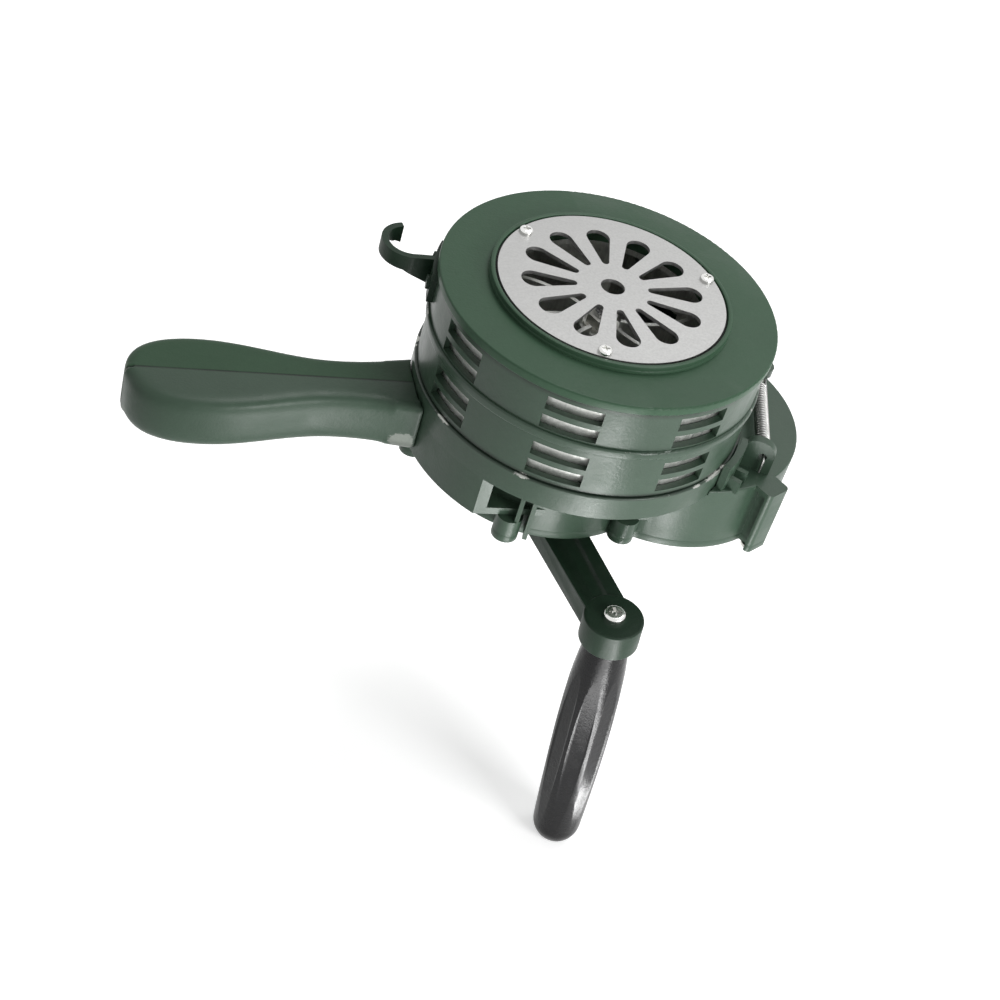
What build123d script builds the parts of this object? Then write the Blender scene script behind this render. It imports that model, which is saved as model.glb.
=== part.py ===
from build123d import *
import os
from math import acos, atan2, cos, degrees, hypot, pi, radians, sin, sqrt, tan

# Hand crank siren, millimetres. The origin is on the rotor axis in the top face of
# the intake flange. +Z leaves the intake, -X runs along the carrying handle.

# ---- running fits and seats -------------------------------------------------
SHAFT_CLEARANCE = 0.05       # radial play of a shaft in its bush or bearing
RUNNING_GAP = 0.4            # between turning and standing castings
SEAT_GAP = 0.3               # air between pieces of different bodies that nearly touch

# ---- intake flange and grille -----------------------------------------------
FLANGE_RADIUS = 70.0
FLANGE_THICKNESS = 4.0
FLANGE_BORE_RADIUS = 41.0
FLANGE_EDGE_ROUND = 0.8
GRILLE_SEAT_RADIUS = 50.0
GRILLE_SEAT_HEIGHT = 1.6
GRILLE_RADIUS = 47.1
GRILLE_THICKNESS = 1.6
GRILLE_HUB_HOLE_RADIUS = 5.0
GRILLE_SLOT_COUNT = 12
GRILLE_SLOT_PHASE = -2.8
SLOT_OUTER_CENTRE = 33.0
SLOT_OUTER_RADIUS = 5.0
SLOT_INNER_CENTRE = 16.5
SLOT_INNER_RADIUS = 1.6
GRILLE_SCREW_CIRCLE_RADIUS = 44.0
GRILLE_SCREW_COUNT = 3
GRILLE_SCREW_PHASE = 12.2
GRILLE_SCREW_RADIUS = 1.5
GRILLE_SCREW_HEAD_RADIUS = 2.9
GRILLE_SCREW_HEAD_HEIGHT = 1.9

# ---- stator drum ------------------------------------------------------------
DRUM_HEIGHT = 43.0
DRUM_RADIUS = 65.4
DRUM_WALL = 4.0
DRUM_TOP_LIP = 2.6
DRUM_BOTTOM_LIP = 2.2
DRUM_BOTTOM_LIP_BORE = 50.0
PORT_COUNT = 8
PORT_WIDTH_ANGLE = 19.0
PORT_PHASE = 246.8
PORT_TOP_DEPTH = 6.8
PORT_SLOT_HEIGHT = 6.2
PORT_SLOT_BAR = 2.6
PORT_BAND_PITCH = 22.8
PORT_BANDS = 2
PORT_LINES = 2
PORT_CUT_DEPTH = 8.0
DRUM_SCREW_CIRCLE_RADIUS = 57.5
DRUM_SCREW_COUNT = 4
DRUM_SCREW_PHASE = 70.0
DRUM_SCREW_RADIUS = 2.0
DRUM_SCREW_HEAD_RADIUS = 3.6
DRUM_SCREW_HEAD_HEIGHT = 2.2

# ---- shutter ring -----------------------------------------------------------
SHUTTER_WALL = 3.0
SHUTTER_RIB_TOP_DEPTH = 22.6
SHUTTER_RIB_HEIGHT = 4.0
SHUTTER_RIB_PROUD = 1.2
SHUTTER_RIB_ROUND = 0.95
SHUTTER_TURN = 22.5

# ---- trigger hook -----------------------------------------------------------
HOOK_LINE_Y = 22.0
HOOK_CURL_CENTRE_X = -76.0
HOOK_CURL_RADIUS = 10.5
HOOK_CURL_ANGLE = 172.0
HOOK_THICKNESS = 2.8
HOOK_TOP_DEPTH = 5.4
HOOK_ROOT_HEIGHT = 13.6
HOOK_TIP_HEIGHT = 6.6
HOOK_FOOT_ANGLE = 20.0
HOOK_FOOT_THICKNESS = 2.6
HOOK_RIVET_RADIUS = 1.6
HOOK_RIVET_HEAD_RADIUS = 3.0
HOOK_RIVET_HEAD_HEIGHT = 1.3
HOOK_RIVET_HALF_WIDTH = 8.0
HOOK_TAPER_END = 4.0
HOOK_RIVET_TAIL = 0.2

# ---- base ring (carries the drum and the rotor bearings) --------------------
BASE_RADIUS = 70.0
BASE_HEIGHT = 11.0
BASE_WALL = 3.0
BASE_PLATE = 4.0
BEARING_RADIUS = 11.0
BEARING_WIDTH = 7.0
BEARING_BORE_RADIUS = 4.0
BEARING_POCKET_WALL = 3.5
BEARING_SPACING = 9.0
BEARING_PROUD = 0.8
BEARING_LIP = 2.5
BEARING_RING_WALL = 2.0
BEARING_SHIELD_INSET = 0.4
BEARING_PLATE_THICKNESS = 2.4
PLATE_FIT = 0.4
BASE_RIB_COUNT = 6
BASE_RIB_PHASE = 30.0
BASE_RIB_THICKNESS = 3.0
BASE_SCREW_CIRCLE_RADIUS = 63.0
BASE_SCREW_ANGLES = (-46.5, 112.0, 150.0, 206.0)
BASE_SCREW_RADIUS = 2.0
BASE_SCREW_END_GAP = 0.5
BASE_SCREW_HEAD_RADIUS = 3.2
BASE_SCREW_HEAD_HEIGHT = 2.0
BASE_BOSS_RADIUS = 4.9

# ---- gear train -------------------------------------------------------------
GEAR_MODULE = 1.25
PRESSURE_ANGLE = 20.0
GEAR_BACKLASH = 0.16
GEAR_ADDENDUM = 0.92
GEAR_DEDENDUM = 1.25
CRANK_GEAR_TEETH = 72
FIRST_PINION_TEETH = 16
FIRST_GEAR_TEETH = 60
SECOND_PINION_TEETH = 15
SECOND_GEAR_TEETH = 42
ROTOR_PINION_TEETH = 15
FIRST_AXLE_X = 46.0
GEAR_LAYER_GAP = 1.2
GEAR_TOP_ROOM = 1.4
GEAR_BOTTOM_ROOM = 3.5
AXLE_RADIUS = 3.0
AXLE_HEAD = 1.2
AXLE_HEAD_HEIGHT = 1.0
AXLE_END = 0.5
GEAR_NECK_RADIUS = 6.0
GEAR_HUB_WALL = 3.5
GEAR_RIM_MODULES = 2.8
GEAR_WEB_STEP = 1.4
GEAR_HOLE_COUNT = 5
GEAR_HOLE_SHARE = 0.28
GEAR_HOLE_PHASE = 10.0
PRESS_GAP = 0.02             # bores that sit tight on a shaft of the same body

# ---- gear housing and cover -------------------------------------------------
HOUSING_WALL = 3.4
HOUSING_TOP_PLATE = 2.0
GEAR_TIP_ROOM = 1.2
PINION_POCKET = 2.0
LOBE_RADIUS = 53.5
CASE_RADIUS = 51.0
CASE_DEPTH = 84.5
SKIRT_RADIUS = 70.0
SKIRT_FLOOR_SKIN = 1.7
SKIRT_FRONT_Y = -50.0
COVER_THICKNESS = 3.5
COVER_SPIGOT = 1.8
COVER_BOSS_WALL = 4.0
COVER_BOSS_DEPTH = 3.5
AXLE_SEAT_WALL = 3.0
AXLE_SEAT_SKIN = 1.2
COVER_SCREW_RADIUS = 1.75
COVER_SCREW_HEAD_RADIUS = 3.2
COVER_SCREW_HEAD_HEIGHT = 1.9
COVER_SCREW_HEAD_ROUND = 0.9
COVER_SCREW_BITE = 6.0
LUG_RADIUS = 5.5
LUG_CENTRE_RADIUS = 54.5
LUG_HEIGHT = 7.5
LUG_FIN_ANGLES = (3.5, 8.5)
LUG_FIN_THICKNESS = 1.8
LUG_FIN_RADIUS = 58.5
CASE_LUG_ANGLES = (121.0, 180.0, 244.0, 299.0)
PILLAR_CENTRE_RADIUS = 57.0
PILLAR_END = 4.6
PILLAR_ANGLES = (-59.0, 59.0)
PILLAR_WIDTH = 12.0
PILLAR_ROUND = 2.2
PILLAR_GROOVE_WIDTH = 6.8
PILLAR_GROOVE_DEPTH = 3.5
PILLAR_GROOVE_INSET = 1.4
PILLAR_TOP_SKIN = 2.4
EAR_ANGLE = -27.5
EAR_THICKNESS = 4.0
EAR_HEIGHT = 14.5
EAR_INNER_RADIUS = 72.0
EAR_OUTER_RADIUS = 86.0
EAR_ROUND_SHARE = 0.44
EAR_HOLE_RADIUS = 1.8
GUARD_INNER_RADIUS = 70.6
GUARD_THICKNESS = 3.0
GUARD_TOP_DEPTH = 44.0
GUARD_ARC_ANGLE = 18.5
GUARD_RIB_ANGLES = (-36.5, -42.0)
GUARD_RIB_LENGTH = 5.0
GUARD_RIB_THICKNESS = 2.4
GUARD_RIB_TOP_DEPTH = 51.0

# ---- crank ------------------------------------------------------------------
CRANK_SHAFT_RADIUS = 6.0
CRANK_ARM_LENGTH = 87.0
CRANK_ARM_HEADING = -78.2
CRANK_ARM_HUB_WIDTH = 21.4
CRANK_ARM_END_WIDTH = 18.4
CRANK_ARM_THICKNESS = 9.0
CRANK_HUB_PROUD = 4.7
CRANK_HUB_RADIUS = 12.0
CRANK_BOSS_RADIUS = 12.5
CRANK_BOSS_DEPTH = 13.0
CRANK_BOSS_PROUD = 0.8
CRANK_BOSS_ROUND = 0.8
CRANK_COLLAR = 3.5
CRANK_TOP_STUB = 1.6
CRANK_CLIP_WALL = 2.2
CRANK_CLIP_HEIGHT = 1.1
CRANK_THREAD_END = 1.5
CRANK_BUSH_WALL = 3.0
CRANK_BUSH_FLANGE_RADIUS = 12.5
CRANK_BUSH_FLANGE = 1.5
CRANK_NUT_RADIUS = 9.0
CRANK_NUT_HEIGHT = 5.0
GRIP_LEAN = 4.6
GRIP_LENGTH = 125.0
GRIP_TOP_RADIUS = 9.2
GRIP_BELLY_RADIUS = 12.2
GRIP_END_RADIUS = 10.6
GRIP_FLUTES = 8
GRIP_FLUTE_RADIUS = 9.0
GRIP_FLUTE_DEPTH = 1.5
GRIP_FLUTE_START = 7.0
GRIP_FLUTE_PHASE = 22.5
GRIP_RIM_BEVEL = 1.0
GRIP_BELLY_SHARE = 0.36
GRIP_LOWER_SHARE = 0.72
GRIP_LOWER_WAIST = 0.6
GRIP_DOME_HEIGHT = 8.0
GRIP_DOME_FLAT = 7.2
GRIP_POCKET_RADIUS = 5.6
GRIP_POCKET_DEPTH = 9.3
GRIP_NUT_RADIUS = 5.0
GRIP_NUT_HEIGHT = 3.5
GRIP_SCREW_END = 5.0
GRIP_WASHER_RADIUS = 7.0
GRIP_WASHER = 1.0
GRIP_SPINDLE_RADIUS = 3.0
GRIP_HEAD_RADIUS = 4.6
GRIP_HEAD_HEIGHT = 2.6

# ---- carrying handle --------------------------------------------------------
HANDLE_THICKNESS = 24.5
HANDLE_END_X = -186.0
HANDLE_BULB_X = -160.0
HANDLE_BULB_HALF = 21.2
HANDLE_WAIST_X = -108.0
HANDLE_WAIST_HALF = 13.2
HANDLE_ROOT_HALF = 17.6
HANDLE_WALL = 3.2
HANDLE_UPPER_ROUND = 3.0
HANDLE_LOWER_ROUND = 6.0
HANDLE_ROOT_OVERLAP = 8.0
HANDLE_ROOT_TANGENT = (-1, -0.18)
HANDLE_SCREW_XS = (-92.0, -152.0)
HANDLE_SCREW_RADIUS = 2.0
HANDLE_BOSS_RADIUS = 5.0
HANDLE_SCREW_SEAT = 9.6
HANDLE_HEAD_RADIUS = 3.8
HANDLE_HEAD_HEIGHT = 2.0
HANDLE_NUT_RADIUS = 3.4
HANDLE_NUT_HEIGHT = 4.6
HANDLE_NUT_DEPTH = 6.5
HANDLE_SCREW_END = 0.6
HANDLE_COUNTERBORE = 4.4
TANG_END_X = -118.0
TANG_HALF_WIDTH = 6.0
TANG_THICKNESS = 8.0
TANG_FIT = 0.1

# ---- return spring ----------------------------------------------------------
SPRING_WIRE_RADIUS = 0.55
SPRING_COIL_RADIUS = 2.6
SPRING_TURNS = 24
SPRING_PITCH = 1.6
SPRING_DEPTH = 48.5
SPRING_EAR_RADIUS = 81.2
SPRING_BEND = 1.4
SPRING_TAIL = 5.4
SPRING_LEAD = 1.6
SPRING_LOOP_LEAD = 2.4
SPRING_SHIFT = 0.6
GAP_POINTS_PER_TURN = 24
POST_ANGLE = 9.5
POST_CENTRE_RADIUS = 87.0
POST_RADIUS = 1.8
POST_LUG_RADIUS = 5.0
POST_LUG_THICKNESS = 4.0
POST_TAIL = 3.2
POST_HEAD = 1.3
POST_HEAD_HEIGHT = 1.4
POST_FOOT = 0.9
POST_FOOT_HEIGHT = 1.0

# ---- rotor ------------------------------------------------------------------
ROTOR_GAP = 0.6
ROTOR_WALL = 3.0
ROTOR_DISC = 2.6
ROTOR_TOP_DEPTH = 8.4
ROTOR_BOTTOM_DEPTH = 43.6
ROTOR_HUB_RADIUS = 9.0
ROTOR_HUB_TOP_DEPTH = 16.0
ROTOR_VANE_THICKNESS = 1.8
ROTOR_VANE_TOP_DEPTH = 13.0
ROTOR_VANE_SWEEP = 26.0
ROTOR_VANE_BOW = 0.28
ROTOR_WINDOW_HEIGHT = 7.6
ROTOR_HUB_FOOT = 1.0
ROTOR_SPACER_WALL = 1.6
ROTOR_SHAFT_TOP = 7.0
ROTOR_SHAFT_END = 0.6
ROTOR_SHAFT_RADIUS = BEARING_BORE_RADIUS - SHAFT_CLEARANCE
ROTOR_NUT_RADIUS = 6.5
ROTOR_NUT_HEIGHT = 4.0
ROTOR_WASHER_RADIUS = 7.5
ROTOR_WASHER_THICKNESS = 1.2

# ---- places worked out from the sizes ---------------------------------------
DRUM_TOP = -FLANGE_THICKNESS
DRUM_BOTTOM = DRUM_TOP - DRUM_HEIGHT
DRUM_INNER = DRUM_RADIUS - DRUM_WALL
SHUTTER_INNER = DRUM_RADIUS + RUNNING_GAP
SHUTTER_OUTER = SHUTTER_INNER + SHUTTER_WALL
SHUTTER_TOP = DRUM_TOP - RUNNING_GAP
SHUTTER_BOTTOM = DRUM_BOTTOM + RUNNING_GAP
GRILLE_BOTTOM = GRILLE_SEAT_HEIGHT
GRILLE_TOP = GRILLE_BOTTOM + GRILLE_THICKNESS
BASE_BOTTOM = DRUM_BOTTOM - BASE_HEIGHT
BASE_UNDER = DRUM_BOTTOM - BASE_PLATE
BASE_SCREW_TOP = BASE_UNDER - BASE_SCREW_END_GAP
BEARING_TOP = DRUM_BOTTOM + BEARING_PROUD
LOWER_BEARING_TOP = BEARING_TOP - BEARING_SPACING
BEARING_HUB_RADIUS = BEARING_RADIUS + BEARING_POCKET_WALL
BEARING_HUB_BOTTOM = LOWER_BEARING_TOP - BEARING_WIDTH
BEARING_PLATE_TOP = BASE_BOTTOM + BEARING_PLATE_THICKNESS
ROTOR_RADIUS = DRUM_INNER - ROTOR_GAP
WINDOW_HEIGHT = 2 * PORT_SLOT_HEIGHT + PORT_SLOT_BAR
LOBE_TOP = BASE_BOTTOM + HOUSING_TOP_PLATE
FIRST_CENTRES = GEAR_MODULE * (CRANK_GEAR_TEETH + FIRST_PINION_TEETH) / 2
SECOND_CENTRES = GEAR_MODULE * (FIRST_GEAR_TEETH + SECOND_PINION_TEETH) / 2
THIRD_CENTRES = GEAR_MODULE * (SECOND_GEAR_TEETH + ROTOR_PINION_TEETH) / 2
CRANK_AXIS = (FIRST_AXLE_X - FIRST_CENTRES, 0.0)
FIRST_AXIS = (FIRST_AXLE_X, 0.0)
SECOND_BEARING_ANGLE = acos(
    (FIRST_AXLE_X**2 + THIRD_CENTRES**2 - SECOND_CENTRES**2) / (2 * FIRST_AXLE_X * THIRD_CENTRES)
)
SECOND_AXIS = (THIRD_CENTRES * cos(SECOND_BEARING_ANGLE), THIRD_CENTRES * sin(SECOND_BEARING_ANGLE))
TOP_LAYER = BEARING_HUB_BOTTOM - GEAR_TOP_ROOM
GEAR_FACE = (CASE_DEPTH + TOP_LAYER - GEAR_BOTTOM_ROOM - 2 * GEAR_LAYER_GAP) / 3
LAYER_PITCH = GEAR_FACE + GEAR_LAYER_GAP
MIDDLE_LAYER = TOP_LAYER - LAYER_PITCH
BOTTOM_LAYER = MIDDLE_LAYER - LAYER_PITCH
SKIRT_BOTTOM = MIDDLE_LAYER - GEAR_FACE - SKIRT_FLOOR_SKIN
FLOOR_TOP = SKIRT_BOTTOM + HOUSING_WALL
COVER_TOP = -CASE_DEPTH
COVER_BOTTOM = COVER_TOP - COVER_THICKNESS
COVER_BOSS_BOTTOM = COVER_BOTTOM - COVER_BOSS_DEPTH
SPIGOT_TOP = COVER_TOP + COVER_SPIGOT
HUB_TOP = COVER_BOSS_BOTTOM - CRANK_BUSH_FLANGE - SEAT_GAP
ARM_TOP = HUB_TOP - CRANK_HUB_PROUD
ARM_BOTTOM = ARM_TOP - CRANK_ARM_THICKNESS
CRANK_BORE = CRANK_SHAFT_RADIUS + PRESS_GAP
BOSS_TOP = ARM_TOP + CRANK_BOSS_PROUD
BOSS_BOTTOM = BOSS_TOP - CRANK_BOSS_DEPTH
GRIP_TOP = BOSS_BOTTOM - GRIP_WASHER - SEAT_GAP
GRIP_BOTTOM = GRIP_TOP - GRIP_LENGTH
HANDLE_BOTTOM = SKIRT_BOTTOM
HANDLE_TOP = HANDLE_BOTTOM + HANDLE_THICKNESS
TANG_MIDDLE = (BASE_BOTTOM + SKIRT_BOTTOM) / 2
HANDLE_START_X = -(SKIRT_RADIUS + RUNNING_GAP)
HANDLE_NUT_END = -(HANDLE_NUT_DEPTH + HANDLE_NUT_HEIGHT)
HANDLE_SCREW_TIP = HANDLE_NUT_END - HANDLE_SCREW_END
EPS = 1.0                    # how far a cutter runs past the face that it opens
FAR = 130.0                  # reach of cutters that pass the whole object


# ---- helpers ----------------------------------------------------------------
STANDING = (Align.CENTER, Align.CENTER, Align.MIN)


def rod(radius, z_top, z_bottom, at=(0.0, 0.0)):
    """Upright cylinder between two heights."""
    return Pos(at[0], at[1], z_bottom) * Cylinder(radius, z_top - z_bottom, align=STANDING)


def tube(outer, inner, z_top, z_bottom, at=(0.0, 0.0)):
    """Upright tube between two heights."""
    return rod(outer, z_top, z_bottom, at) - rod(inner, z_top + EPS, z_bottom - EPS, at)


def block(x_low, x_high, y_low, y_high, z_low, z_high):
    """Box between its limits."""
    size = (x_high - x_low, y_high - y_low, z_high - z_low)
    centre = ((x_low + x_high) / 2, (y_low + y_high) / 2, (z_low + z_high) / 2)
    return Pos(*centre) * Box(*size)


def polar(radius, angle, centre=(0.0, 0.0)):
    """Point at a radius and an angle in degrees round a centre."""
    return (centre[0] + radius * cos(radians(angle)), centre[1] + radius * sin(radians(angle)))


def sector(start_angle, end_angle):
    """Flat wedge from the rotor axis between two angles."""
    return Polygon((0, 0), polar(FAR, start_angle), polar(FAR, end_angle), align=None)


def hexagon_nut(corner_radius, z_top, z_bottom, bore, at=(0.0, 0.0)):
    """Plain hexagon nut."""
    flat = Pos(at[0], at[1], z_bottom) * RegularPolygon(corner_radius, 6)
    return extrude(flat, z_top - z_bottom, dir=(0, 0, 1)) - rod(bore, z_top + EPS, z_bottom - EPS, at)


def rods(radius, z_top, z_bottom, places):
    """One cylinder at each place, as one shape."""
    shape = rod(radius, z_top, z_bottom, places[0])
    for place in places[1:]:
        shape += rod(radius, z_top, z_bottom, place)
    return shape


def group(shapes):
    """Separate solids kept in one node."""
    return Compound(children=[part for shape in shapes for part in shape.solids()])


def ring_places(count, radius, phase, centre=(0.0, 0.0)):
    """Evenly spaced places on a circle."""
    return [polar(radius, phase + step * 360.0 / count, centre) for step in range(count)]


def pan_screw(head_radius, head_height, shank_radius, length, at, z_seat):
    """Pan head screw pointing down, its head on the seat, with a cross recess."""
    head = rod(head_radius, z_seat + head_height, z_seat, at)
    head = fillet(head.edges().group_by(Axis.Z)[-1], head_height * 0.6)
    recess_depth = head_height * 0.55
    top = z_seat + head_height
    for turn in (0.0, 90.0):
        bar = Rot(0, 0, turn) * Box(head_radius * 1.1, head_radius * 0.26, recess_depth * 2)
        head -= Pos(at[0], at[1], top) * bar
    return head + rod(shank_radius, z_seat, z_seat - length, at)


# ---- gears ------------------------------------------------------------------
def flank_point(base_radius, radius, half_angle_base):
    """Point of an involute flank, as radius and angle from the tooth's middle."""
    roll = sqrt(max((radius / base_radius) ** 2 - 1.0, 0.0))
    involute = roll - atan2(roll, 1.0)
    return radius, half_angle_base - involute


def gear_outline(teeth):
    """Closed outline of an involute gear, its first tooth on +X."""
    pitch_radius = GEAR_MODULE * teeth / 2
    base_radius = pitch_radius * cos(radians(PRESSURE_ANGLE))
    tip_radius = pitch_radius + GEAR_ADDENDUM * GEAR_MODULE
    root_radius = pitch_radius - GEAR_DEDENDUM * GEAR_MODULE
    thickness = pi * GEAR_MODULE / 2 - GEAR_BACKLASH
    involute_at_pitch = tan(radians(PRESSURE_ANGLE)) - radians(PRESSURE_ANGLE)
    half_base = thickness / 2 / pitch_radius + involute_at_pitch
    start = max(base_radius, root_radius)
    radii = [start, pitch_radius, tip_radius]
    flank = [flank_point(base_radius, radius, half_base) for radius in radii]
    if root_radius < base_radius:
        flank.insert(0, (root_radius, half_base))
    points = []
    for tooth in range(teeth):
        middle = 2 * pi * tooth / teeth
        for radius, angle in flank:
            points.append((radius * cos(middle - angle), radius * sin(middle - angle)))
        for radius, angle in reversed(flank):
            points.append((radius * cos(middle + angle), radius * sin(middle + angle)))
    return Polygon(*points, align=None)


def gear(teeth, z_top, thickness, at, phase):
    """Toothed disc with one tooth's middle at the phase angle."""
    placed = Pos(at[0], at[1], z_top - thickness) * Rot(0, 0, phase) * gear_outline(teeth)
    return extrude(placed, thickness, dir=(0, 0, 1))


def heading(start, end):
    """Angle in degrees from one axis to another."""
    return degrees(atan2(end[1] - start[1], end[0] - start[0]))


def meshing_phase(teeth, axis, partner_axis):
    """Phase that puts a gap on the line to a partner whose tooth lies on it."""
    return heading(axis, partner_axis) + 180.0 / teeth


# ---- intake -----------------------------------------------------------------
def front_flange():
    """Flat intake flange with the raised seat of the grille."""
    plate = rod(FLANGE_RADIUS, 0, DRUM_TOP)
    plate = fillet(plate.edges(), FLANGE_EDGE_ROUND)
    seat = rod(GRILLE_SEAT_RADIUS, GRILLE_SEAT_HEIGHT, 0)
    seat = fillet(seat.edges().group_by(Axis.Z)[-1], FLANGE_EDGE_ROUND)
    body = plate + seat - rod(FLANGE_BORE_RADIUS, GRILLE_SEAT_HEIGHT + EPS, DRUM_TOP - EPS)
    places = ring_places(GRILLE_SCREW_COUNT, GRILLE_SCREW_CIRCLE_RADIUS, GRILLE_SCREW_PHASE)
    return body - rods(GRILLE_SCREW_RADIUS, GRILLE_SEAT_HEIGHT + EPS, DRUM_TOP - EPS, places)


def teardrop():
    """Outline of one grille slot, wide end outwards on +X."""
    spread = SLOT_OUTER_CENTRE - SLOT_INNER_CENTRE
    lean = acos((SLOT_OUTER_RADIUS - SLOT_INNER_RADIUS) / spread)
    touch = pi - lean
    outer = (SLOT_OUTER_CENTRE + SLOT_OUTER_RADIUS * cos(touch), SLOT_OUTER_RADIUS * sin(touch))
    inner = (SLOT_INNER_CENTRE + SLOT_INNER_RADIUS * cos(touch), SLOT_INNER_RADIUS * sin(touch))
    flat = Polygon(outer, inner, (inner[0], -inner[1]), (outer[0], -outer[1]), align=None)
    wide_end = Pos(SLOT_OUTER_CENTRE, 0) * Circle(SLOT_OUTER_RADIUS)
    narrow_end = Pos(SLOT_INNER_CENTRE, 0) * Circle(SLOT_INNER_RADIUS)
    return flat + wide_end + narrow_end


def inlet_grille():
    """Pressed intake grille with a rosette of teardrop slots."""
    face = Circle(GRILLE_RADIUS) - Circle(GRILLE_HUB_HOLE_RADIUS)
    slot = teardrop()
    for index in range(GRILLE_SLOT_COUNT):
        face -= Rot(0, 0, GRILLE_SLOT_PHASE + index * 360.0 / GRILLE_SLOT_COUNT) * slot
    for place in ring_places(GRILLE_SCREW_COUNT, GRILLE_SCREW_CIRCLE_RADIUS, GRILLE_SCREW_PHASE):
        face -= Pos(*place) * Circle(GRILLE_SCREW_RADIUS)
    return extrude(Pos(0, 0, GRILLE_BOTTOM) * face, GRILLE_THICKNESS)


def grille_screws():
    """Three pan heads that clamp grille and flange to the drum."""
    length = GRILLE_TOP - DRUM_TOP + DRUM_TOP_LIP
    places = ring_places(GRILLE_SCREW_COUNT, GRILLE_SCREW_CIRCLE_RADIUS, GRILLE_SCREW_PHASE)
    screw_sizes = (GRILLE_SCREW_HEAD_RADIUS, GRILLE_SCREW_HEAD_HEIGHT, GRILLE_SCREW_RADIUS, length)
    return group([pan_screw(*screw_sizes, place, GRILLE_TOP) for place in places])


# ---- drum -------------------------------------------------------------------
def slot_tops():
    """Heights of the upper edge of each row of slots, from the top down."""
    row = PORT_SLOT_HEIGHT + PORT_SLOT_BAR
    tops = []
    for band in range(PORT_BANDS):
        for line in range(PORT_LINES):
            tops.append(-PORT_TOP_DEPTH - band * PORT_BAND_PITCH - line * row)
    return tops


def port_cutter(radius, z_top, z_bottom, angle):
    """Radial box through a drum wall, centred on an angle."""
    width = 2 * radius * sin(radians(PORT_WIDTH_ANGLE / 2))
    reach = PORT_CUT_DEPTH
    box = block(radius - reach, radius + reach, -width / 2, width / 2, z_bottom, z_top)
    return Rot(0, 0, angle) * box


def stator_port_angles():
    """Angles of the windows in drum and rotor, half way between the shutter's slots."""
    return [PORT_PHASE + SHUTTER_TURN + port * 360.0 / PORT_COUNT for port in range(PORT_COUNT)]


def drum_screw_places():
    """Places of the screws between base ring and drum."""
    return ring_places(DRUM_SCREW_COUNT, DRUM_SCREW_CIRCLE_RADIUS, DRUM_SCREW_PHASE)


def stator_drum():
    """Bare drum with one tall window per port and band, lips at both ends."""
    drum = tube(DRUM_RADIUS, DRUM_INNER, DRUM_TOP, DRUM_BOTTOM)
    drum += tube(DRUM_RADIUS, FLANGE_BORE_RADIUS, DRUM_TOP, DRUM_TOP - DRUM_TOP_LIP)
    drum += tube(DRUM_RADIUS, DRUM_BOTTOM_LIP_BORE, DRUM_BOTTOM + DRUM_BOTTOM_LIP, DRUM_BOTTOM)
    for angle in stator_port_angles():
        for band in range(PORT_BANDS):
            z_top = -PORT_TOP_DEPTH - band * PORT_BAND_PITCH
            drum -= port_cutter(DRUM_RADIUS, z_top, z_top - WINDOW_HEIGHT, angle)
    places = ring_places(GRILLE_SCREW_COUNT, GRILLE_SCREW_CIRCLE_RADIUS, GRILLE_SCREW_PHASE)
    drum -= rods(GRILLE_SCREW_RADIUS, DRUM_TOP + EPS, DRUM_TOP - DRUM_TOP_LIP - EPS, places)
    return drum - rods(
        DRUM_SCREW_RADIUS, DRUM_BOTTOM + DRUM_BOTTOM_LIP + EPS, DRUM_BOTTOM - EPS, drum_screw_places()
    )


def drum_screws():
    """Screws from under the base plate into the drum's lower lip."""
    shapes = []
    for place in drum_screw_places():
        head = rod(DRUM_SCREW_HEAD_RADIUS, BASE_UNDER, BASE_UNDER - DRUM_SCREW_HEAD_HEIGHT, place)
        shapes.append(head + rod(DRUM_SCREW_RADIUS, DRUM_BOTTOM + DRUM_BOTTOM_LIP, BASE_UNDER, place))
    return group(shapes)


# ---- shutter ----------------------------------------------------------------
def hook_angle():
    """Angle at which the hook leaves the ring."""
    return degrees(atan2(HOOK_LINE_Y, -sqrt(SHUTTER_OUTER**2 - HOOK_LINE_Y**2)))


def shutter_ring():
    """Slotted ring that turns over the drum, with its rib and the spring lug."""
    ring = tube(SHUTTER_OUTER, SHUTTER_INNER, SHUTTER_TOP, SHUTTER_BOTTOM)
    rib_top = -SHUTTER_RIB_TOP_DEPTH
    rib = tube(SHUTTER_OUTER + SHUTTER_RIB_PROUD, SHUTTER_INNER, rib_top, rib_top - SHUTTER_RIB_HEIGHT)
    rib_edges = rib.edges().filter_by(GeomType.CIRCLE).sort_by(SortBy.RADIUS)[-2:]
    ring += fillet(rib_edges, SHUTTER_RIB_ROUND)
    for port in range(PORT_COUNT):
        angle = PORT_PHASE + port * 360.0 / PORT_COUNT
        behind_hook = cos(radians(angle - hook_angle())) > cos(radians(HOOK_FOOT_ANGLE))
        if not behind_hook:
            for z_top in slot_tops():
                ring -= port_cutter(SHUTTER_OUTER, z_top, z_top - PORT_SLOT_HEIGHT, angle)
    lug_at = polar(POST_CENTRE_RADIUS, POST_ANGLE)
    lug = rod(POST_LUG_RADIUS, SHUTTER_BOTTOM + POST_LUG_THICKNESS, SHUTTER_BOTTOM, lug_at)
    arm = block(
        SHUTTER_INNER + SHUTTER_WALL / 2, POST_CENTRE_RADIUS, -POST_LUG_RADIUS, POST_LUG_RADIUS,
        SHUTTER_BOTTOM, SHUTTER_BOTTOM + POST_LUG_THICKNESS,
    )
    ring += lug + Rot(0, 0, POST_ANGLE) * arm
    ring -= rod(POST_RADIUS, SHUTTER_BOTTOM + POST_LUG_THICKNESS + EPS, SHUTTER_BOTTOM - EPS, lug_at)
    for angle in rivet_angles():
        ring -= radial_rod(HOOK_RIVET_RADIUS, SHUTTER_INNER - EPS, SHUTTER_OUTER + EPS, angle, rivet_height())
    return ring


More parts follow.
